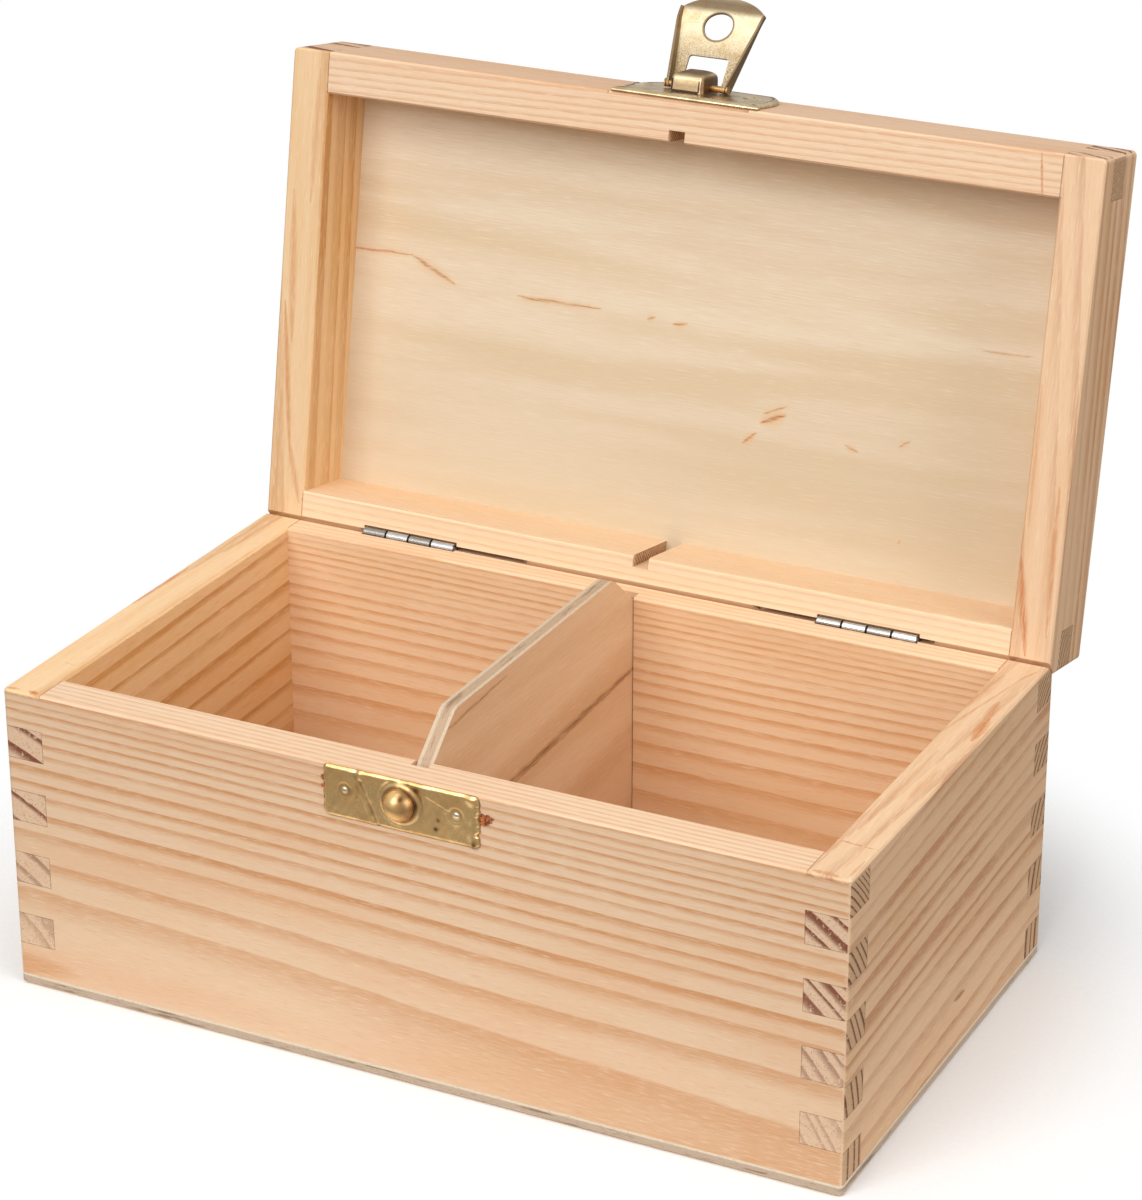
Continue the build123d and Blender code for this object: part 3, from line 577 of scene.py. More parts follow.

# %% [markdown]
# Metals: thin brass-plated sheet with a dull olive tarnish, and bright zinc hinges. A metal shows
# what it mirrors, so most of its look is in the lamps; the surface adds fine scratches, specks, a
# slow change of roughness, and brown stains that gather where a piece carries a "stain" attribute.
# Some of that browning is painted shade and reflection: in the gaps between hinge knuckles, in the
# bend of the hasp's lip, round the right of the catch's dome and on the right side of the latch's hood.

# %% metals
def metal(name, lid, look):
    """Plated sheet: base and stain colours, roughness, and how much cloud, speckle and wear it has."""
    tree = Tree(name)
    (x, y, z), facing = tree.place(lid)
    spot = tree.vector(tree.plus(x, look["seed"]), y, z)
    clouds = tree.noise(spot, scale=0.3, detail=3.0, roughness=0.6)
    fine = tree.noise(spot, scale=look["grain"], detail=2.0, roughness=0.7)
    face = tree.mix(tree.times(tree.smooth(clouds, 0.42, 0.7), look["cloud"]), look["base"], look["stain"])
    speck = tree.smooth(fine, 0.6, 0.7)
    face = tree.mix(tree.times(speck, look["speck"]), face, look["deep"])
    stained = tree.attribute("stain")
    # Painted shade: dark bands at the gaps between hinge knuckles
    for joint in look.get("joints", []):
        gap = tree.smooth(tree.math("ABSOLUTE", tree.minus(x, joint)), 0.34, 0.14)
        stained = tree.math("MAXIMUM", stained, gap)
    if "pin" in look:
        # Worn and browned near the pin, dark on its cut edges, and in the bend of the lip a painted dark
        # reflection as a brown band
        pin_y, pin_z, face_y, face_z = look["pin"]
        off_y, off_z = tree.minus(y, pin_y), tree.minus(z, pin_z)
        reach = tree.math("SQRT", tree.plus(tree.times(off_y, off_y), tree.times(off_z, off_z)))
        speckled = tree.plus(0.55, tree.times(tree.smooth(fine, 0.42, 0.6), 0.45))
        worn = tree.times(tree.smooth(reach, 15.0, 5.0), speckled)
        bend = tree.times(tree.smooth(reach, 15.4, 17.0), tree.smooth(reach, 21.0, 18.0))
        turned_away = tree.plus(tree.times(facing[1], face_y), tree.times(facing[2], face_z))
        cut = tree.smooth(tree.math("ABSOLUTE", turned_away), 0.75, 0.45)
        stained = tree.math("MAXIMUM", tree.times(worn, 0.8), tree.times(bend, 0.75))
        stained = tree.math("MAXIMUM", stained, tree.times(cut, 0.7))
        sideways = tree.minus(x, LATCH_X)
        from_hole = tree.minus(reach, look["hole_reach"])
        hole_gap = tree.math(
            "SQRT", tree.plus(tree.times(sideways, sideways), tree.times(from_hole, from_hole))
        )
        rubbed = tree.smooth(hole_gap, look["hole_radius"] + 0.5, look["hole_radius"] + 0.2)
        side_line = tree.plus(look["width_at_pin"] / 2, tree.times(reach, look["widening"] / 2))
        side_gap = tree.minus(side_line, tree.math("ABSOLUTE", sideways))
        rubbed = tree.math("MAXIMUM", rubbed, tree.smooth(side_gap, 0.6, 0.2))
        stained = tree.math("MAXIMUM", stained, tree.times(rubbed, 0.8))
    face = tree.mix(stained, face, look["deep"])
    roughness = tree.plus(look["rough"], tree.times(tree.smooth(clouds, 0.4, 0.7), 0.12))
    roughness = tree.plus(roughness, tree.times(stained, 0.2))
    return tree.close(
        tree.principled(
            Base_Color=face, Metallic=1.0, Roughness=roughness,
            Normal=tree.bump(fine, 0.00006, look["relief"]),
        )
    )


BRASS = dict(
    base=colour(248, 208, 146), stain=colour(204, 158, 96), deep=colour(100, 62, 34),
    rough=0.26, cloud=0.6, speck=0.2, seed=3.0, grain=3.0, relief=0.2,
)
STEEL = dict(
    base=colour(232, 222, 196), stain=colour(180, 160, 120), deep=colour(90, 72, 52),
    rough=0.2, cloud=0.4, speck=0.2, seed=5.0, grain=3.0, relief=0.1,
)
HINGE_XS = [
    sum(corner[0] for corner in nodes[pin].bound_box) / 8 / MM
    for pin in ("left_hinge_pin", "right_hinge_pin")
]
ZINC = dict(
    base=colour(212, 214, 218), stain=colour(150, 150, 152), deep=colour(52, 46, 40),
    rough=0.22, cloud=0.5, speck=0.3, seed=12.0, grain=3.0, relief=0.2,
    joints=[x + 5.0 * n for x in HINGE_XS for n in (-1, 0, 1)],
)
SATIN = dict(
    base=colour(232, 216, 182), stain=colour(210, 182, 134), deep=colour(96, 66, 34),
    rough=0.3, cloud=0.7, speck=0.7, seed=15.0, grain=5.0, relief=0.25,
    hole_reach=13.0, hole_radius=2.85, width_at_pin=12.1, widening=0.315,
    pin=(
        PIN_Y, PIN_Z,
        math.cos(math.radians(HASP_TILT - HASP_OPEN)), math.sin(math.radians(HASP_TILT - HASP_OPEN)),
    ),
)
brass_catch = metal("brass_catch", False, BRASS)
# Painted reflection: the latch plate is a paler, less yellow copy of the catch's brass, for the white it
# mirrors
LATCH_BRASS = dict(
    BRASS, base=colour(232, 212, 172), stain=colour(190, 156, 104), seed=8.0, rough=0.22, cloud=0.5
)
brass_latch = metal("brass_latch", True, LATCH_BRASS)
steel_box = metal("steel_box", False, STEEL)
steel_lid = metal("steel_lid", True, dict(STEEL, seed=6.0))
satin_hasp = metal("satin_hasp", True, SATIN)
dress(brass_catch, "catch_plate")
dress(brass_latch, "latch_plate")
dress(satin_hasp, "hasp")
dress(steel_box, "catch_nails")
dress(steel_lid, "latch_nails")
dress(metal("aged_pin", True, dict(BRASS, base=colour(166, 128, 80), seed=10.0, rough=0.34)), "hasp_pin")
dress(
    metal("zinc_box", False, ZINC),
    "left_hinge_box_leaf", "right_hinge_box_leaf", "left_hinge_pin", "right_hinge_pin",
)
# Painted shade: the lid leaves are a darker copy of the same zinc as the box leaves
zinc_lid = metal("zinc_lid", True, dict(ZINC, base=colour(168, 166, 162), seed=13.0))
dress(zinc_lid, "left_hinge_lid_leaf", "right_hinge_lid_leaf")

# %% [markdown]
# Pieces that the drawing leaves plain are now made as surfaces: whole grids of points from a
# formula, never one point at a time. Two grids back to back and a strip round their border make a
# closed skin, so that it has a true inside and a true thickness.

# %% surfaces from grids of points
def mesh_piece(name, points, faces, body, material, stain=None, smooth=True):
    """A new piece from points (n x 3, mm, as they lie at rest) and faces, riding on one body."""
    mesh = bpy.data.meshes.new(name)
    mesh.from_pydata((points * MM).tolist(), [], [list(map(int, face)) for face in faces])
    mesh.update()
    if smooth:
        mesh.polygons.foreach_set("use_smooth", np.ones(len(mesh.polygons), dtype=bool))
    if stain is not None:
        layer = mesh.attributes.new(name="stain", type="FLOAT", domain="POINT")
        layer.data.foreach_set("value", stain.astype(np.float32).ravel())
    mesh.materials.append(material)
    thing = bpy.data.objects.new(name, mesh)
    bpy.context.scene.collection.objects.link(thing)
    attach(thing, body)
    print(name, "points", len(points), "faces", len(faces))
    return thing


def grid_faces(rows, columns, wrap=False):
    """Four-sided faces between neighbouring points of a grid; wrap joins the last column to the first."""
    across = columns if wrap else columns - 1
    row, column = np.meshgrid(np.arange(rows - 1), np.arange(across), indexing="ij")
    a = (row * columns + column).ravel()
    b = (row * columns + (column + 1) % columns).ravel()
    return np.stack([a, b, b + columns, a + columns], 1)


def skin(front, back):
    """Points and faces of a closed skin between two grids (rows x columns x 3) seen from the front."""
    rows, columns = front.shape[:2]
    points = np.concatenate([front.reshape(-1, 3), back.reshape(-1, 3)])
    faces = grid_faces(rows, columns)
    index = np.arange(rows * columns).reshape(rows, columns)
    border = np.concatenate([index[0, :-1], index[:-1, -1], index[-1, :0:-1], index[:0:-1, 0]])
    following = np.roll(border, -1)
    offset = rows * columns
    rim_faces = np.stack([border, border + offset, following + offset, following], 1)
    return points, np.concatenate([faces, faces[:, ::-1] + offset, rim_faces])


def turned(radius, height, segments=48):
    """A closed round skin: the profile (radius, height) goes once round the local z axis."""
    angle = np.linspace(0.0, 2 * np.pi, segments, endpoint=False)
    ring_x = radius[:, None] * np.cos(angle)
    ring_y = radius[:, None] * np.sin(angle)
    ring_z = np.broadcast_to(height[:, None], ring_x.shape)
    points = np.stack([ring_x, ring_y, ring_z], -1).reshape(-1, 3)
    faces = grid_faces(len(radius), segments, wrap=True)
    return points, faces


def wave(u, v, seed, size, count=7):
    """Smooth seeded unevenness round 0: a sum of sine waves with random directions and phases."""
    dice = np.random.default_rng(seed)
    turn = dice.uniform(0, np.pi, count)
    pitch = size * dice.uniform(0.6, 1.6, count)
    phase = dice.uniform(0, 2 * np.pi, count)
    total = np.zeros_like(u, dtype=float)
    for angle, period, start in zip(turn, pitch, phase):
        total += np.sin((u * np.cos(angle) + v * np.sin(angle)) * 2 * np.pi / period + start)
    return total / count


def away_from_path(u, v, path):
    """Distance of every grid point from a line through the path's points."""
    nearest = np.full(u.shape, np.inf)
    for (u0, v0), (u1, v1) in zip(path[:-1], path[1:]):
        run_u, run_v = u1 - u0, v1 - v0
        share = np.clip(((u - u0) * run_u + (v - v0) * run_v) / (run_u ** 2 + run_v ** 2), 0, 1)
        nearest = np.minimum(nearest, np.hypot(u - u0 - share * run_u, v - v0 - share * run_v))
    return nearest


def hill(distance, reach):
    """1 at distance 0, falling away like a bell."""
    return np.exp(-((distance / reach) ** 2))


# %% [markdown]
# The catch plate. It was pressed from thin sheet, nailed on by hand and knocked about: two creases
# cross its left half, rings were struck round the nails, its right end has curled away from the
# wood, and brown tarnish has run into every hollow. Its outline has rounded corners and two bites.

# %% catch plate
CATCH_LENGTH, CATCH_HEIGHT, CATCH_SHEET = 30.6, 9.9, 0.5
CATCH_LOW = RIM - 0.05 - CATCH_HEIGHT
DOME_RADIUS = 3.0
DOME_UP = LID_RIM + 8.3 - 13.0 - CATCH_LOW
FIRST_CREASE = [(-8.7, 10.0), (-8.6, 7.0), (-8.2, 4.6)]
SECOND_CREASE = [(-7.7, 7.9), (-6.9, 5.4), (-5.6, 2.6), (-4.4, -0.2)]
CATCH_NAILS = [(-10.9, RIM - 4.3 - CATCH_LOW), (10.9, RIM - 4.3 - CATCH_LOW)]


def catch_skin():
    """Depth = sheet - rolled border + waves - creases - nail rings + flare of the dome + curled end."""
    rows, columns = 110, 330
    share_v, share_u = np.meshgrid(np.linspace(0, 1, rows), np.linspace(-1, 1, columns), indexing="ij")
    v = share_v * CATCH_HEIGHT
    corner = 1.1
    near_edge = np.minimum(v, CATCH_HEIGHT - v)
    round_corner = corner - np.sqrt(np.maximum(corner ** 2 - (corner - near_edge) ** 2, 0))
    inset = np.where(near_edge < corner, round_corner, 0)
    bites = 0.4 * hill(v - 2.6, 0.45) + 0.3 * hill(v - 5.9, 0.4) + 0.06 * np.sin(v * 5.0)
    left_bites = 0.12 + 0.1 * np.sin(v * 2.3 + 1.0)
    half = CATCH_LENGTH / 2 - inset - np.where(share_u > 0, bites, left_bites)
    u = share_u * half
    border = np.minimum(np.minimum(v, CATCH_HEIGHT - v), half - np.abs(u))
    rolled = 0.34 * hill(border, 0.34)
    creases = 0.13 * hill(away_from_path(u, v, FIRST_CREASE), 0.36)
    creases = creases + 0.17 * hill(away_from_path(u, v, SECOND_CREASE), 0.42)
    creases += 0.05 * hill(away_from_path(u, v, [(5.2, 7.6), (9.4, 6.0)]), 0.15)
    ridge = 0.10 * hill(away_from_path(u, v, [(-7.9, 9.5), (-7.0, 4.5), (-5.4, 0.3)]), 0.3)
    rings = np.zeros_like(u)
    for nail_u, nail_v in CATCH_NAILS:
        gap = np.hypot(u - nail_u, v - nail_v)
        rings += 0.07 * hill(gap - 1.1, 0.3) - 0.03 * hill(gap - 1.7, 0.35)
    dome_gap = np.hypot(u, v - DOME_UP)
    flare = 0.3 * hill(dome_gap - 3.1, 0.45) - 0.12 * hill(dome_gap - 4.1, 0.4)
    curl = 0.34 * hill(u - 14.3, 0.8) * (0.4 + 0.6 * hill(v - 1.4, 2.2))
    curl = curl + 0.2 * hill(np.hypot(u - 13.6, v - 9.0), 0.8)
    waves = 0.07 * wave(u, v, 4, 6.0) + 0.03 * wave(u, v, 5, 2.2)
    depth = CATCH_SHEET - rolled - creases + ridge - rings + flare + curl
    depth = depth + waves * np.clip(border / 0.6, 0, 1)
    depth = np.maximum(depth, 0.1)
    x = LATCH_X + u
    z = CATCH_LOW + v
    front = np.stack([x, -HALF_W - depth, z], -1)
    back = np.stack([x, np.full_like(x, -HALF_W - 0.01), z], -1)
    patchy = 0.55 + 0.45 * wave(u, v, 12, 1.6) * 2.0
    stain = 0.5 * hill(away_from_path(u, v, FIRST_CREASE), 0.4) * patchy
    stain += 0.6 * hill(away_from_path(u, v, SECOND_CREASE), 0.5) * patchy
    # Painted shade: besides the browned crease at the dome's foot, a wider ring on its right side only
    stain += 0.65 * hill(dome_gap - 3.25, 0.3) + 0.3 * hill(dome_gap - 3.8, 0.8) * (u > 0)
    stain += 0.6 * hill(np.hypot((u - 3.2) / 1.1, v - 8.6), 0.7)
    stain += 0.9 * (hill(np.hypot(u - 7.4, v - 3.9), 0.42) + hill(np.hypot(u - 6.9, v - 2.1), 0.42))
    stain += 0.8 * hill(np.hypot(u - 14.4, (v - 0.9) / 1.6), 0.55)
    for nail_u, nail_v in CATCH_NAILS:
        stain += 0.4 * hill(np.hypot(u - nail_u, v - nail_v) - 1.0, 0.3)
    stain += 0.55 * hill(border, 0.16) + 0.22 * np.clip(wave(u, v, 9, 4.0) * 2.0, 0, 1)
    stain = np.clip(stain, 0, 1)
    points, faces = skin(front, back)
    return points, faces, np.concatenate([stain.ravel(), stain.ravel()])


catch_points, catch_faces, catch_tarnish_and_shade = catch_skin()
catch_piece = mesh_piece("catch_plate_pressed", catch_points, catch_faces, "box", brass_catch, catch_tarnish_and_shade)
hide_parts("catch_plate")


def dome_on_front(radius, height, segments=64):
    """A turned skin whose axis points out of the box front instead of up."""
    points, faces = turned(radius, height, segments)
    return np.stack([points[:, 0], -points[:, 2], points[:, 1]], 1), faces


def catch_dome():
    """The pressed dome: a flared foot, then three quarters of a ball, with a shallow dent at the side."""
    angle = np.linspace(0.0, np.pi / 2, 36)
    foot_radius = np.array([0.001, 3.5, 3.5, 3.3, 3.05])
    foot_height = np.array([0.2, 0.2, 0.5, 0.62, 0.8])
    radius = np.concatenate([foot_radius, DOME_RADIUS * 0.985 * np.cos(angle[1:])])
    height = np.concatenate([foot_height, CATCH_SHEET + 0.15 + (DOME_RADIUS - 0.2) * np.sin(angle[1:])])
    radius[-1] = 0.001
    points, faces = dome_on_front(radius, height)
    dent = hill(np.hypot(points[:, 0] - 1.4, points[:, 2] - 0.6), 0.9)
    points[:, 1] += 0.12 * dent
    # Painted dark reflection: the right side of the dome is browned; the blotch above it and the ring at its
    # foot are tarnish
    stain = 0.6 * np.clip((points[:, 0] + points[:, 2] * 0.3 - 0.2) / 1.6, 0, 1)
    stain = stain + 0.5 * hill(np.hypot(points[:, 0] - 1.0, points[:, 2] - 1.9), 0.6)
    stain = np.clip(stain + 0.5 * hill(-points[:, 1] - 0.7, 0.25), 0, 1)
    points += np.array([LATCH_X, -HALF_W, CATCH_LOW + DOME_UP])
    return points, faces, stain


dome_points, dome_faces, dome_tarnish_and_shade = catch_dome()
dome_piece = mesh_piece("catch_dome_pressed", dome_points, dome_faces, "box", brass_catch, dome_tarnish_and_shade)

# %% [markdown]
# Nail heads are small domes with a soft shoulder. All of them are one formula: a quarter
# ellipse turned round, sunk a little into the plate.

# %% nail heads
def nail_head(radius, rise, sink):
    """Turned quarter ellipse that starts below the plate and ends in its crown."""
    angle = np.linspace(0.0, np.pi / 2, 14)
    profile_radius = np.concatenate([[0.001, radius * 0.9], radius * np.cos(angle)])
    profile_height = np.concatenate([[-sink, -sink], rise * np.sin(angle)])
    profile_radius[-1] = 0.001
    return dome_on_front(profile_radius, profile_height, 28)


def nail_pair(name, places, level, body, material, lid, node):
    """Two heads on one plate, as one piece; places are (x, z) in mm with the lid shut."""
    parts, faces = [], []
    for x, z in places:
        points, head_faces = nail_head(0.62, 0.34, 0.35)
        faces.append(head_faces + sum(len(p) for p in parts))
        parts.append(points + np.array([x, -HALF_W - level, z]))
    points = np.concatenate(parts)
    if lid:
        points = open_lid_points(points)
    piece = mesh_piece(name, points, np.concatenate(faces), body, material)
    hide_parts(node)


nail_pair("catch_nail_heads", [(LATCH_X + u, CATCH_LOW + v) for u, v in CATCH_NAILS], CATCH_SHEET - 0.1,
          "box", steel_box, False, "catch_nails")
LATCH_CROWN, LATCH_LOW = 0.9, LID_RIM + 0.15
LATCH_NAIL_U, LATCH_NAIL_V = 11.2, 8.3
LATCH_NAILS = [(LATCH_X + side * LATCH_NAIL_U, LATCH_LOW + LATCH_NAIL_V) for side in (-1, 1)]
nail_pair("latch_nail_heads", LATCH_NAILS, LATCH_CROWN - 0.1,
          "lid", steel_lid, True, "latch_nails")

# %% [markdown]
# The latch plate is a shallow tray: its edge is turned down all round and stands as a bright roll
# along the saw cut. Its ends step in, swell out in a lobe and narrow again, and the nails sit in
# small craters. The hood over the pin is a second pressing: loops of rounded rectangles that
# shrink as they rise. Thin dark blocks, painted shade, stand for the gap under its cut-free front
# edge and the cuts at its sides. It has no holes for the pin, which simply passes through its wall.

# %% latch plate and hood
LATCH_HEIGHT, LATCH_SHIFT = 16.2, 1.2
HOOD_U, HOOD_V = -0.5, PIN_Z - LATCH_LOW


def latch_half_width(v):
    """Half of the plate's length at each height: a straight corner, a notch, then the lobe."""
    notch = 13.7 + 1.2 * np.clip((2.2 - v) / 0.9, 0, 1)
    lobe_low = 13.7 + 1.0 * np.sqrt(np.clip(1 - ((6.5 - v) / 4.3) ** 2, 0, 1))
    lobe_high = 9.9 + 4.8 * np.sqrt(np.clip(1 - ((v - 6.5) / 9.8) ** 2, 0, 1))
    return np.where(v < 2.2, notch, np.where(v < 6.5, lobe_low, lobe_high))


def latch_skin():
    """Depth = crown - turned-down border - bead inside it + craters round the nails + waves."""
    rows, columns = 150, 260
    share_v, share_u = np.meshgrid(np.linspace(0, 1, rows), np.linspace(-1, 1, columns), indexing="ij")
    v = share_v * LATCH_HEIGHT
    half = latch_half_width(v) - 0.12 * np.clip(np.sin(v * 4.2) * (v > 2.0) * (v < 8.0), 0, 1) * (share_u > 0)
    u = share_u * half
    border = np.minimum(np.minimum(v, LATCH_HEIGHT - v), half - np.abs(u))
    depth = LATCH_CROWN - 0.36 * hill(border, 0.35) - 0.16 * hill(border - 1.2, 0.3)
    for side in (-1, 1):
        gap = np.hypot(u + LATCH_SHIFT - side * LATCH_NAIL_U, v - LATCH_NAIL_V)
        depth += 0.26 * hill(gap - 1.35, 0.45) - 0.16 * hill(gap, 0.7)
    depth += 0.05 * wave(u, v, 21, 7.0) * np.clip(border / 1.0, 0, 1)
    front = np.stack([LATCH_X + LATCH_SHIFT + u, -HALF_W - depth, LATCH_LOW + v], -1)
    back = np.stack([LATCH_X + LATCH_SHIFT + u, np.full_like(u, -HALF_W - 0.01), LATCH_LOW + v], -1)
    stain = 0.8 * hill(border - 1.05, 0.25)
    stain += 0.5 * hill(np.hypot(u - HOOD_U - 2.0, (v - HOOD_V) * 1.2) - 3.2, 1.6)
    stain += 0.25 * np.clip(wave(u, v, 23, 5.0) * 2.0, 0, 1)
    stain = np.clip(stain + 0.15, 0, 1) * 0.9
    points, faces = skin(front, back)
    return open_lid_points(points), faces, np.concatenate([stain.ravel(), stain.ravel()])


def loop_of(half_u, half_v, corner, count):
    """A rectangle with round corners as count points: share t of the way round, corners as quarter turns."""
    corner = min(corner, half_u - 0.01, half_v - 0.01)
    quarter = np.linspace(0, np.pi / 2, count // 4)
    turns = np.concatenate([quarter + n * np.pi / 2 for n in range(4)])
    centre_u = np.repeat([1, -1, -1, 1], count // 4) * (half_u - corner)
    centre_v = np.repeat([1, 1, -1, -1], count // 4) * (half_v - corner)
    return np.stack([centre_u + corner * np.cos(turns), centre_v + corner * np.sin(turns)], -1)


def hood_skin():
    """Round-cornered loops; inset and height follow a profile with a flared foot and a crowned top."""
    inset = np.array([-0.4, -0.25, -0.06, 0.0, 0.04, 0.1, 0.18, 0.34, 0.6, 0.95, 1.5, 2.2, 2.9])
    height = np.array([0.55, 0.74, 0.94, 1.2, 2.2, 3.3, 3.75, 4.1, 4.34, 4.52, 4.72, 4.84, 4.88])
    half_u, half_v, count = 3.45, 3.7, 80
    rings = []
    for step, rise in zip(inset, height):
        loop = loop_of(half_u - step, half_v - step, max(0.8 - step * 0.3, 0.25), count)
        rings.append(np.stack([loop[:, 0], np.full(count, -rise), loop[:, 1]], -1))
    points = np.concatenate(rings)
    top = -points[:, 1]
    # The front leans back a little, and the press left the top lower at the front
    points[:, 1] += 0.35 * np.clip(-points[:, 2] / half_v, 0, 1) * np.clip((top - 3.0) / 1.5, 0, 1)
    points[:, 1] += 0.05 * wave(points[:, 0] * 2, points[:, 2] * 2, 31, 2.0)
    faces = grid_faces(len(inset), count, wrap=True)
    low_cap = np.arange(count)[::-1]
    high_cap = np.arange(count) + (len(inset) - 1) * count
    faces_list = faces.tolist() + [low_cap.tolist(), high_cap.tolist()]
    stain = 0.5 * hill(top - 0.9, 0.3) - 0.4 * hill(top - 4.1, 0.35) + 0.5 * np.clip((top - 4.3) / 0.4, 0, 1)
    # Painted shade: the hood's right side is darkened
    stain += 0.5 * (points[:, 0] > half_u - 0.6) * (top > 1.0) + 0.45
    stain += 0.2 * wave(points[:, 0] * 3, points[:, 2] * 3 + top * 2, 33, 1.6)
    points += np.array([LATCH_X + HOOD_U, -HALF_W, LATCH_LOW + HOOD_V])
    return open_lid_points(points), faces_list, np.clip(stain, 0, 0.85)


latch_points, latch_faces, latch_stain = latch_skin()
latch_piece = mesh_piece("latch_plate_pressed", latch_points, latch_faces, "lid", brass_latch, latch_stain)
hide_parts("latch_plate")
hood_points, hood_faces, hood_tarnish_and_shade = hood_skin()
hood_piece = mesh_piece("latch_hood_pressed", hood_points, hood_faces, "lid", brass_latch, hood_tarnish_and_shade)


def dark_gap_material():
    """Painted shade: a dark material standing in for the unlit hollow behind a cut in thin sheet."""
    tree = Tree("dark_gap")
    spot, _ = tree.place(True)
    dust = tree.noise(tree.vector(*spot), scale=2.0)
    return tree.close(
        tree.principled(Base_Color=tree.mix(dust, colour(26, 16, 8), colour(60, 38, 20)), Roughness=0.8)
    )


def hood_gaps():
    """Dark blocks of painted shade in the gap under the hood's front edge, and where two cuts would free its
    front face at the sides.
    """
    def bar(u0, u1, v0, v1, low, high):
        """A thin block, bowed by 0.04 * (1 - the square of the share of its half length)."""
        u = np.linspace(u0, u1, 9)
        bow = 0.04 * (1 - ((u - (u0 + u1) / 2) / ((u1 - u0) / 2)) ** 2)
        front = np.stack([
            np.stack([u, np.full(9, -low), np.full(9, v0) - bow], -1),
            np.stack([u, np.full(9, -high), np.full(9, v1) - bow], -1),
        ])
        back = front + np.array([0.0, 0.0, 0.5])
        return skin(front, back)

    front_v = -3.7
    parts = [bar(-2.85, 2.4, front_v - 0.32, front_v - 0.04, 0.86, 1.35)]
    parts += [bar(u - 0.12, u + 0.12, front_v - 0.07, front_v + 0.1, 1.2, 3.3) for u in (-2.95, 2.5)]
    points = np.concatenate([p for p, f in parts])
    starts = np.cumsum([0] + [len(p) for p, f in parts[:-1]])
    faces = np.concatenate([f + start for (p, f), start in zip(parts, starts)])
    points = points + np.array([LATCH_X + HOOD_U, -HALF_W, LATCH_LOW + HOOD_V])
    return open_lid_points(points), faces


gap_points, gap_faces = hood_gaps()
gap_piece = mesh_piece("latch_hood_gap_shade", gap_points, gap_faces, "lid", dark_gap_material(), smooth=False)

# %% [markdown]
# The hasp was drawn with a sharp bend at its lip and square side flanges. The press made neither:
# the lip sweeps out in one soft curve, which shades it from bright to brown together with a brown
# band painted into the bend as dark reflection, and the flanges are splayed, so from the right the
# far one shows its inside. A merged copy of the drawn hasp is cut into narrow bands, then each
# point is moved along a bend formula and sheared.

# %% hasp with a soft lip and splayed flanges
SPLAY = math.tan(math.radians(19.0))
LIP_START, LIP_TURN, LIP_REACH = 16.2, math.radians(25.0), 3.0


def hasp_directions():
    """With the lid shut and the hasp open, as (y, z): down the hasp from its pin, and out of its face."""
    angle = math.radians(180.0 + HASP_TILT - HASP_OPEN)
    outwards = np.array([math.cos(angle), math.sin(angle)])
    return np.array([-outwards[1], outwards[0]]), outwards


def drawn_hasp():
    """The drawn hasp as (x, distance from the pin, height off it), merged and cut into bands at the lip."""
    source = nodes["hasp"].data
    flat = np.zeros(len(source.vertices) * 3)
    source.vertices.foreach_get("co", flat)
    centre = np.array([0.0, HINGE_Y, HINGE_Z])
    shut = (flat.reshape(-1, 3) / MM - centre) @ np.array(lid_rotation()).T + centre
    along, outwards = hasp_directions()
    off = shut[:, 1:] - np.array([PIN_Y, PIN_Z])
    local = np.stack([shut[:, 0] - LATCH_X, off @ along, off @ outwards], -1)
    merged, inverse = np.unique(np.round(local, 3), axis=0, return_inverse=True)
    corners = np.zeros(len(source.loops), dtype=np.int32)
    source.loops.foreach_get("vertex_index", corners)
    faces = inverse.reshape(-1)[corners.reshape(-1, 3)]
    keep = (faces[:, 0] != faces[:, 1]) & (faces[:, 1] != faces[:, 2]) & (faces[:, 0] != faces[:, 2])
    mesh = bpy.data.meshes.new("hasp_bands")
    mesh.from_pydata(merged.tolist(), [], faces[keep].tolist())
    bands = bmesh.new()
    bands.from_mesh(mesh)
    for place in np.linspace(LIP_START - LIP_REACH, LIP_START + LIP_REACH, 13):
        bmesh.ops.bisect_plane(
            bands, geom=bands.verts[:] + bands.edges[:] + bands.faces[:], dist=1e-4,
            plane_co=(0.0, place, 0.0), plane_no=(0.0, 1.0, 0.0),
        )
    points = np.array([vertex.co[:] for vertex in bands.verts])
    faces = [[vertex.index for vertex in face.verts] for face in bands.faces]
    bands.free()
    bpy.data.meshes.remove(mesh)
    return points, faces


def soft_lip(points):
    """The sharp bend as an arc: angle = LIP_TURN * share of its length, radius less the height."""
    x, reach, height = points.T
    off, rise = reach - LIP_START, height - HASP_STAND
    half = LIP_TURN / 2
    on_lip = off * math.cos(half) + rise * math.sin(half) > 0
    path = np.where(on_lip, off * math.cos(LIP_TURN) + rise * math.sin(LIP_TURN), off)
    layer = np.where(on_lip, rise * math.cos(LIP_TURN) - off * math.sin(LIP_TURN), rise)
    radius = LIP_REACH / math.tan(half)
    turn = LIP_TURN * np.clip((path + LIP_REACH) / (2 * LIP_REACH), 0, 1)
    before, after = np.clip(path + LIP_REACH, None, 0), np.clip(path - LIP_REACH, 0, None)
    new_reach = LIP_START - LIP_REACH + before + (radius - layer) * np.sin(turn) + after * math.cos(LIP_TURN)
    new_height = HASP_STAND + radius - (radius - layer) * np.cos(turn) + after * math.sin(LIP_TURN)
    return np.stack([x, new_reach, new_height], -1)


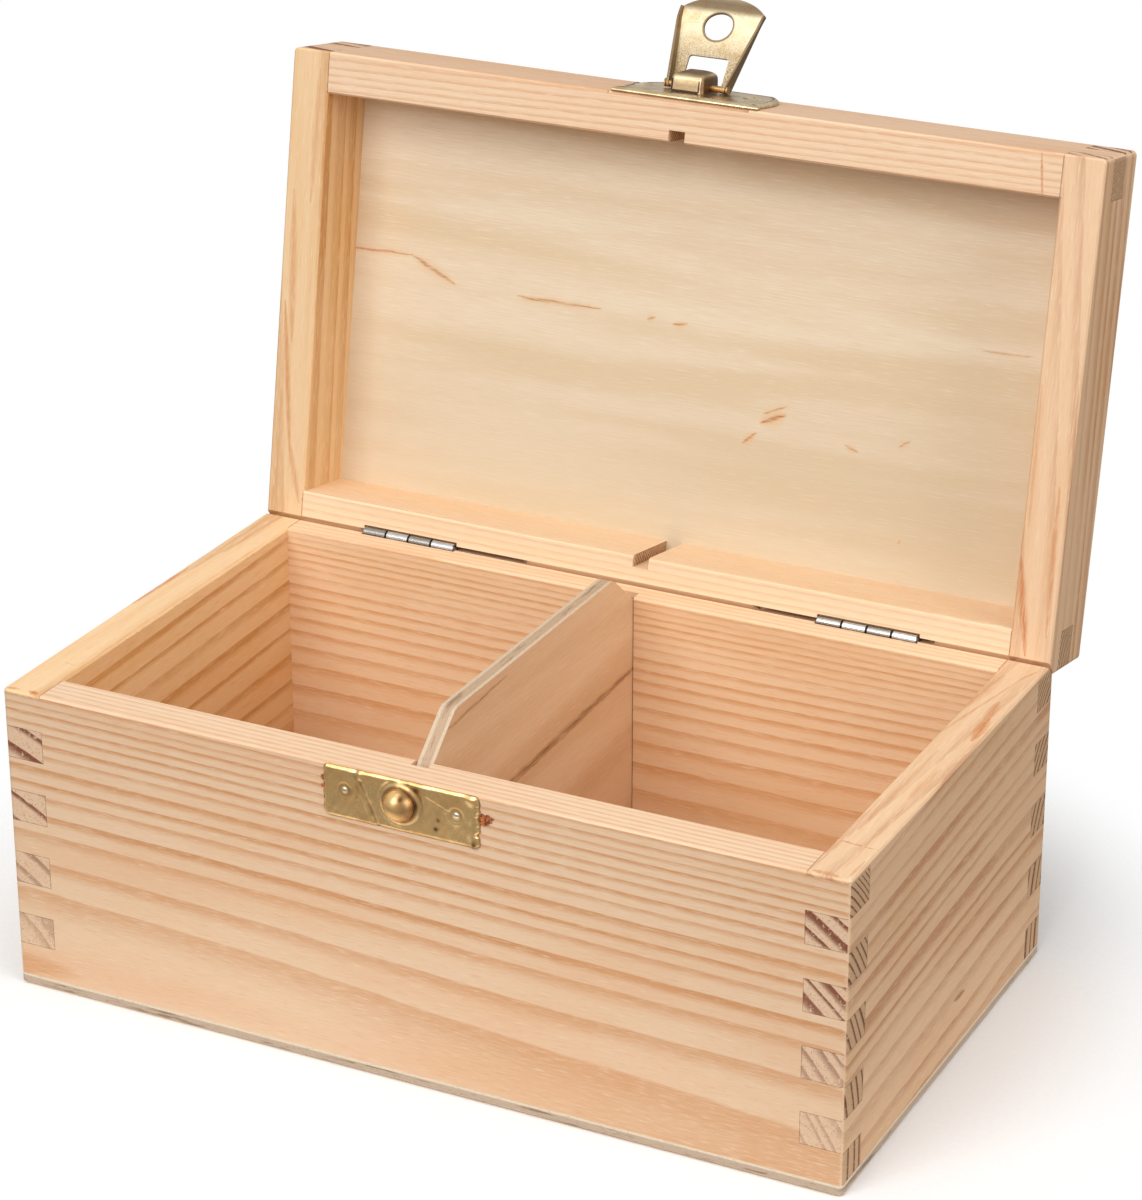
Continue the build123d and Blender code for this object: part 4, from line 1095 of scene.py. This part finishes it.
def pressed_hasp():
    """Bend, then splay: x moves outwards by the depth below the sheet, from nothing at the pin."""
    points, faces = drawn_hasp()
    points = soft_lip(points)
    depth = np.clip(HASP_STAND - points[:, 2], 0, None)
    clear_of_pin = np.clip((points[:, 1] - 1.5) / 4.0, 0, 1)
    points[:, 0] += np.sign(points[:, 0]) * depth * SPLAY * clear_of_pin
    along, outwards = hasp_directions()
    yz = np.array([PIN_Y, PIN_Z]) + points[:, 1:2] * along + points[:, 2:3] * outwards
    shut = np.concatenate([points[:, :1] + LATCH_X, yz], axis=1)
    return open_lid_points(shut), faces


hasp_points, hasp_faces = pressed_hasp()
hasp_piece = mesh_piece("hasp_pressed", hasp_points, hasp_faces, "hasp", satin_hasp)
hasp_piece.data.set_sharp_from_angle(angle=math.radians(32.0))
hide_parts("hasp")
soften = hasp_piece.modifiers.new("eased_edges", "BEVEL")
soften.width = 0.1 * MM
soften.segments = 2
soften.limit_method = "ANGLE"
soften.angle_limit = math.radians(40.0)
soften.harden_normals = True

# %% [markdown]
# A saw and a press leave small damage, and it is what makes new pine look like pine: fibres along
# the rims of the two sides and at the front corners, and torn chips where the prongs of the catch
# plate split the wood. Each is a ribbon along a short curled path, thin to both ends. They lie low,
# because the lid closes on the rim with a tenth of a millimetre to spare.

# %% torn fibres
def ribbons(starts, directions, lifts, lengths, widths, curls):
    """One closed ribbon per row: centre(t) = start + t*length*direction + curl*t^2*lift, width*sin(pi t)."""
    steps, count = 7, len(starts)
    t = np.linspace(0, 1, steps)[None, :, None]
    starts, directions, lifts = (np.asarray(a, float)[:, None, :] for a in (starts, directions, lifts))
    lengths, widths, curls = (np.asarray(a, float)[:, None, None] for a in (lengths, widths, curls))
    centre = starts + t * lengths * directions + curls * t ** 2 * lifts
    across = np.cross(directions, lifts)
    half = widths * (0.12 + np.sin(np.pi * np.clip(t * 0.9 + 0.05, 0, 1))) / 2
    thick = 0.3 * half
    sideways, upwards = across * half, lifts * thick
    around = np.stack([centre + sideways, centre + upwards, centre - sideways, centre - upwards], 2)
    points = around.reshape(-1, 3)
    tube = grid_faces(steps, 4, wrap=True)
    caps = np.array([[3, 2, 1, 0], [4 * steps - 4, 4 * steps - 3, 4 * steps - 2, 4 * steps - 1]])
    one = np.concatenate([tube, caps])
    faces = (one[None] + (np.arange(count) * steps * 4)[:, None, None]).reshape(-1, 4)
    return points, faces


def fibre_material(name, lid, light, dark):
    """Torn wood: pale straw to amber, changing every millimetre."""
    tree = Tree(name)
    spot, _ = tree.place(lid)
    tone = tree.noise(tree.vector(*spot), scale=1.3, detail=1.0)
    return tree.close(
        tree.principled(Base_Color=tree.mix(tree.smooth(tone, 0.35, 0.65), light, dark), Roughness=0.6)
    )


rng = np.random.default_rng(7)


def spread(count, low, high):
    """Seeded numbers between low and high."""
    return low + (high - low) * rng.random(count)


def fibres_along(start, end, count, lean, lift, length, width, rise):
    """Ribbons strewn along an edge from start to end, leaning off it; tips curl by up to rise mm."""
    start, end, lean, lift = (np.asarray(a, float) for a in (start, end, lean, lift))
    share = np.sort(rng.random(count))[:, None]
    starts = start + (end - start) * share
    along = (end - start) / np.linalg.norm(end - start)
    tilt = spread(count, -0.35, 0.35)[:, None]
    directions = along + tilt * lean
    directions /= np.linalg.norm(directions, axis=1)[:, None]
    lifts = np.repeat(lift[None], count, 0)
    lifts -= (lifts * directions).sum(1)[:, None] * directions
    lifts /= np.linalg.norm(lifts, axis=1)[:, None]
    return ribbons(
        starts, directions, lifts, spread(count, 0.5, 1.0) * length, spread(count, 0.5, 1.0) * width,
        spread(count, 0.2, 1.0) * rise,
    )


def joined(parts):
    """Several point and face lists as one."""
    shift = np.cumsum([0] + [len(points) for points, faces in parts[:-1]])
    points = np.concatenate([points for points, faces in parts])
    return points, np.concatenate([faces + n for (_, faces), n in zip(parts, shift)])


INNER_L, INNER_W = HALF_L - WALL, HALF_W - WALL
UP, LOW_RIM, BELOW_RIM = (0, 0, 1), RIM - 0.02, RIM - 0.3
box_fibres = joined([
    fibres_along((-INNER_L, -INNER_W, BELOW_RIM), (-INNER_L, INNER_W, BELOW_RIM), 18,
                 (0, 0, 0.3), (1, 0, -0.2), 1.6, 0.12, 0.5),
    fibres_along((INNER_L, -INNER_W, BELOW_RIM), (INNER_L, INNER_W, BELOW_RIM), 10,
                 (0, 0, 0.3), (-1, 0, -0.2), 1.4, 0.12, 0.4),
    fibres_along((74.2, -34.8, LOW_RIM), (81.8, -35.4, LOW_RIM), 30, (0, 0.8, 0), UP, 1.0, 0.16, 0.05),
    fibres_along((75.0, -47.1, LOW_RIM), (80.0, -47.1, LOW_RIM), 8, (0, 0.5, 0), UP, 1.0, 0.16, 0.05),
    fibres_along((80.6, 12.0, LOW_RIM), (80.4, 20.0, LOW_RIM), 18, (0.9, 0, 0), UP, 0.9, 0.14, 0.05),
    fibres_along((-78.0, -46.9, LOW_RIM), (-74.8, -46.9, LOW_RIM), 8, (0, 0.5, 0), UP, 1.0, 0.2, 0.05),
])
torn_straw = fibre_material("torn_straw", False, colour(246, 222, 180), colour(222, 168, 112))
fibres_piece = mesh_piece("torn_fibres_box", *box_fibres, "box", torn_straw, smooth=False)


def chip(u, v, radius, spikes, seed):
    """A torn chip on the front: a star of spikes on the wood, each a ribbon from the middle outwards."""
    turn = np.linspace(0, 2 * np.pi, spikes, endpoint=False) + seed
    stretch = 0.55 + 0.45 * np.abs(np.cos(turn)) + 0.15 * np.sin(turn * 3 + seed)
    directions = np.stack([np.cos(turn), np.full(spikes, -0.06), np.sin(turn) * 0.8], -1)
    directions /= np.linalg.norm(directions, axis=1)[:, None]
    starts = np.repeat([[u, -HALF_W - 0.02, v]], spikes, 0)
    lifts = np.repeat([[0.0, -1.0, 0.0]], spikes, 0)
    lifts -= (lifts * directions).sum(1)[:, None] * directions
    lifts /= np.linalg.norm(lifts, axis=1)[:, None]
    widths, rises = np.full(spikes, radius * 0.5), np.full(spikes, 0.15)
    return ribbons(starts, directions, lifts, stretch * radius, widths, rises)


chips = joined([
    chip(15.6, 56.3, 1.5, 9, 0.3), chip(15.2, 55.6, 1.1, 7, 1.1), chip(-16.0, 57.3, 0.7, 6, 0.2),
    chip(-16.1, 55.7, 0.55, 6, 0.8),
])
torn_amber = fibre_material("torn_amber", False, colour(196, 112, 52), colour(104, 48, 26))
chips_piece = mesh_piece("torn_chips", *chips, "box", torn_amber, smooth=False)

# %% [markdown]
# The studio. One large soft lamp stands to the front left, a weaker one fills from the right, and a
# third hangs above. The paper is white to the camera, but what the metal mirrors is a plain room,
# dim low down and straight overhead, or brass would look like chalk.

# %% camera, paper and lamps
CAMERA_PLACE, CAMERA_TURN = (0.28709, -0.55589, 0.35029), (66.2495, 0.0601, 26.6378)
CAMERA_LENS, CAMERA_SENSOR = 114.43, 36.0
camera_data = bpy.data.cameras.new("camera")
camera_data.sensor_width = CAMERA_SENSOR
camera_data.lens = CAMERA_LENS
camera = bpy.data.objects.new("camera", camera_data)
camera.location = CAMERA_PLACE
camera.rotation_euler = [math.radians(angle) for angle in CAMERA_TURN]
bpy.context.scene.collection.objects.link(camera)
bpy.context.scene.camera = camera
bpy.context.scene.view_settings.view_transform = "Standard"

ROOM_LEVEL = 0.5


def studio_world():
    """White towards the camera; towards everything else a soft room, lighter above than below."""
    world = bpy.data.worlds.new("paper")
    bpy.context.scene.world = world
    world.use_nodes = True
    tree = world.node_tree
    tree.nodes.clear()
    rays = tree.nodes.new("ShaderNodeLightPath")
    spot = tree.nodes.new("ShaderNodeTexCoord")
    split = tree.nodes.new("ShaderNodeSeparateXYZ")
    ramp = tree.nodes.new("ShaderNodeValToRGB")
    ramp.color_ramp.elements[0].position = 0.25
    ramp.color_ramp.elements[0].color = (0.3, 0.28, 0.26, 1.0)
    ramp.color_ramp.elements[1].position = 0.75
    ramp.color_ramp.elements[1].color = (0.95, 0.95, 0.95, 1.0)
    ceiling = ramp.color_ramp.elements.new(0.93)
    ceiling.color = (0.95, 0.95, 0.95, 1.0)
    zenith = ramp.color_ramp.elements.new(0.985)
    zenith.color = (0.4, 0.36, 0.32, 1.0)
    lift = tree.nodes.new("ShaderNodeMath")
    lift.operation = "MULTIPLY_ADD"
    lift.inputs[1].default_value = 0.5
    lift.inputs[2].default_value = 0.5
    room = tree.nodes.new("ShaderNodeBackground")
    # What shiny surfaces mirror is a brighter room than the one that lights the wood
    level = tree.nodes.new("ShaderNodeMath")
    level.operation = "MULTIPLY_ADD"
    level.inputs[1].default_value = 0.9 - ROOM_LEVEL
    level.inputs[2].default_value = ROOM_LEVEL
    tree.links.new(rays.outputs["Is Glossy Ray"], level.inputs[0])
    tree.links.new(level.outputs[0], room.inputs["Strength"])
    white = tree.nodes.new("ShaderNodeBackground")
    white.inputs["Color"].default_value = (1.0, 1.0, 1.0, 1.0)
    pick = tree.nodes.new("ShaderNodeMixShader")
    output = tree.nodes.new("ShaderNodeOutputWorld")
    tree.links.new(spot.outputs["Generated"], split.inputs[0])
    tree.links.new(split.outputs[2], lift.inputs[0])
    tree.links.new(lift.outputs[0], ramp.inputs[0])
    tree.links.new(ramp.outputs[0], room.inputs["Color"])
    tree.links.new(rays.outputs["Is Camera Ray"], pick.inputs[0])
    tree.links.new(room.outputs[0], pick.inputs[1])
    tree.links.new(white.outputs[0], pick.inputs[2])
    tree.links.new(pick.outputs[0], output.inputs[0])


def lamp(name, place, target, size, power):
    """A white rectangular lamp that looks from its place to the target."""
    data = bpy.data.lights.new(name, "AREA")
    data.shape = "RECTANGLE"
    data.size, data.size_y = size
    data.energy = power
    thing = bpy.data.objects.new(name, data)
    thing.location = place
    thing.rotation_euler = (Vector(target) - Vector(place)).to_track_quat("-Z", "Y").to_euler()
    bpy.context.scene.collection.objects.link(thing)


studio_world()
lamp("key", (-0.14, -0.9, 0.75), (0.0, 0.0, 0.06), (0.8, 0.7), 8.2)
lamp("top", (0.0, -0.15, 0.95), (0.0, 0.0, 0.05), (0.7, 0.5), 2.1)
lamp("fill", (0.9, -0.25, 0.45), (0.0, 0.0, 0.05), (0.5, 0.6), 3.4)


def paper_floor():
    """A pale sheet under the object; away from it the sheet thins out into the white paper behind."""
    reach = 1.2
    mesh = bpy.data.meshes.new("paper_floor")
    corners = [(-reach, -reach, 0.0), (reach, -reach, 0.0), (reach, reach, 0.0), (-reach, reach, 0.0)]
    mesh.from_pydata(corners, [], [(0, 1, 2, 3)])
    sheet = bpy.data.objects.new("paper_floor", mesh)
    bpy.context.scene.collection.objects.link(sheet)
    tree = Tree("paper")
    source = tree.add("ShaderNodeTexCoord")
    x, y, _ = tree.parts(source.outputs["Object"])
    away = tree.math("SQRT", tree.plus(tree.times(x, x), tree.times(y, y)))
    fade = tree.smooth(away, 0.092, 0.14)
    fibre = tree.noise(source.outputs["Object"], scale=900.0, detail=2.0)
    seen = tree.mix(tree.smooth(fibre, 0.3, 0.7), (0.94, 0.94, 0.94, 1.0), (0.96, 0.96, 0.96, 1.0))
    rays = tree.add("ShaderNodeLightPath")
    plain = tree.math("MAXIMUM", rays.outputs["Is Camera Ray"], rays.outputs["Is Glossy Ray"])
    tone = tree.mix(plain, (0.6, 0.59, 0.57, 1.0), seen)
    clear = tree.add("ShaderNodeBsdfTransparent")
    sheet_shader = tree.principled(Base_Color=tone, Roughness=0.9, Specular_IOR_Level=0.1)
    mesh.materials.append(tree.close(tree.either(fade, sheet_shader, clear.outputs[0])))
    return sheet


floor_sheet = paper_floor()
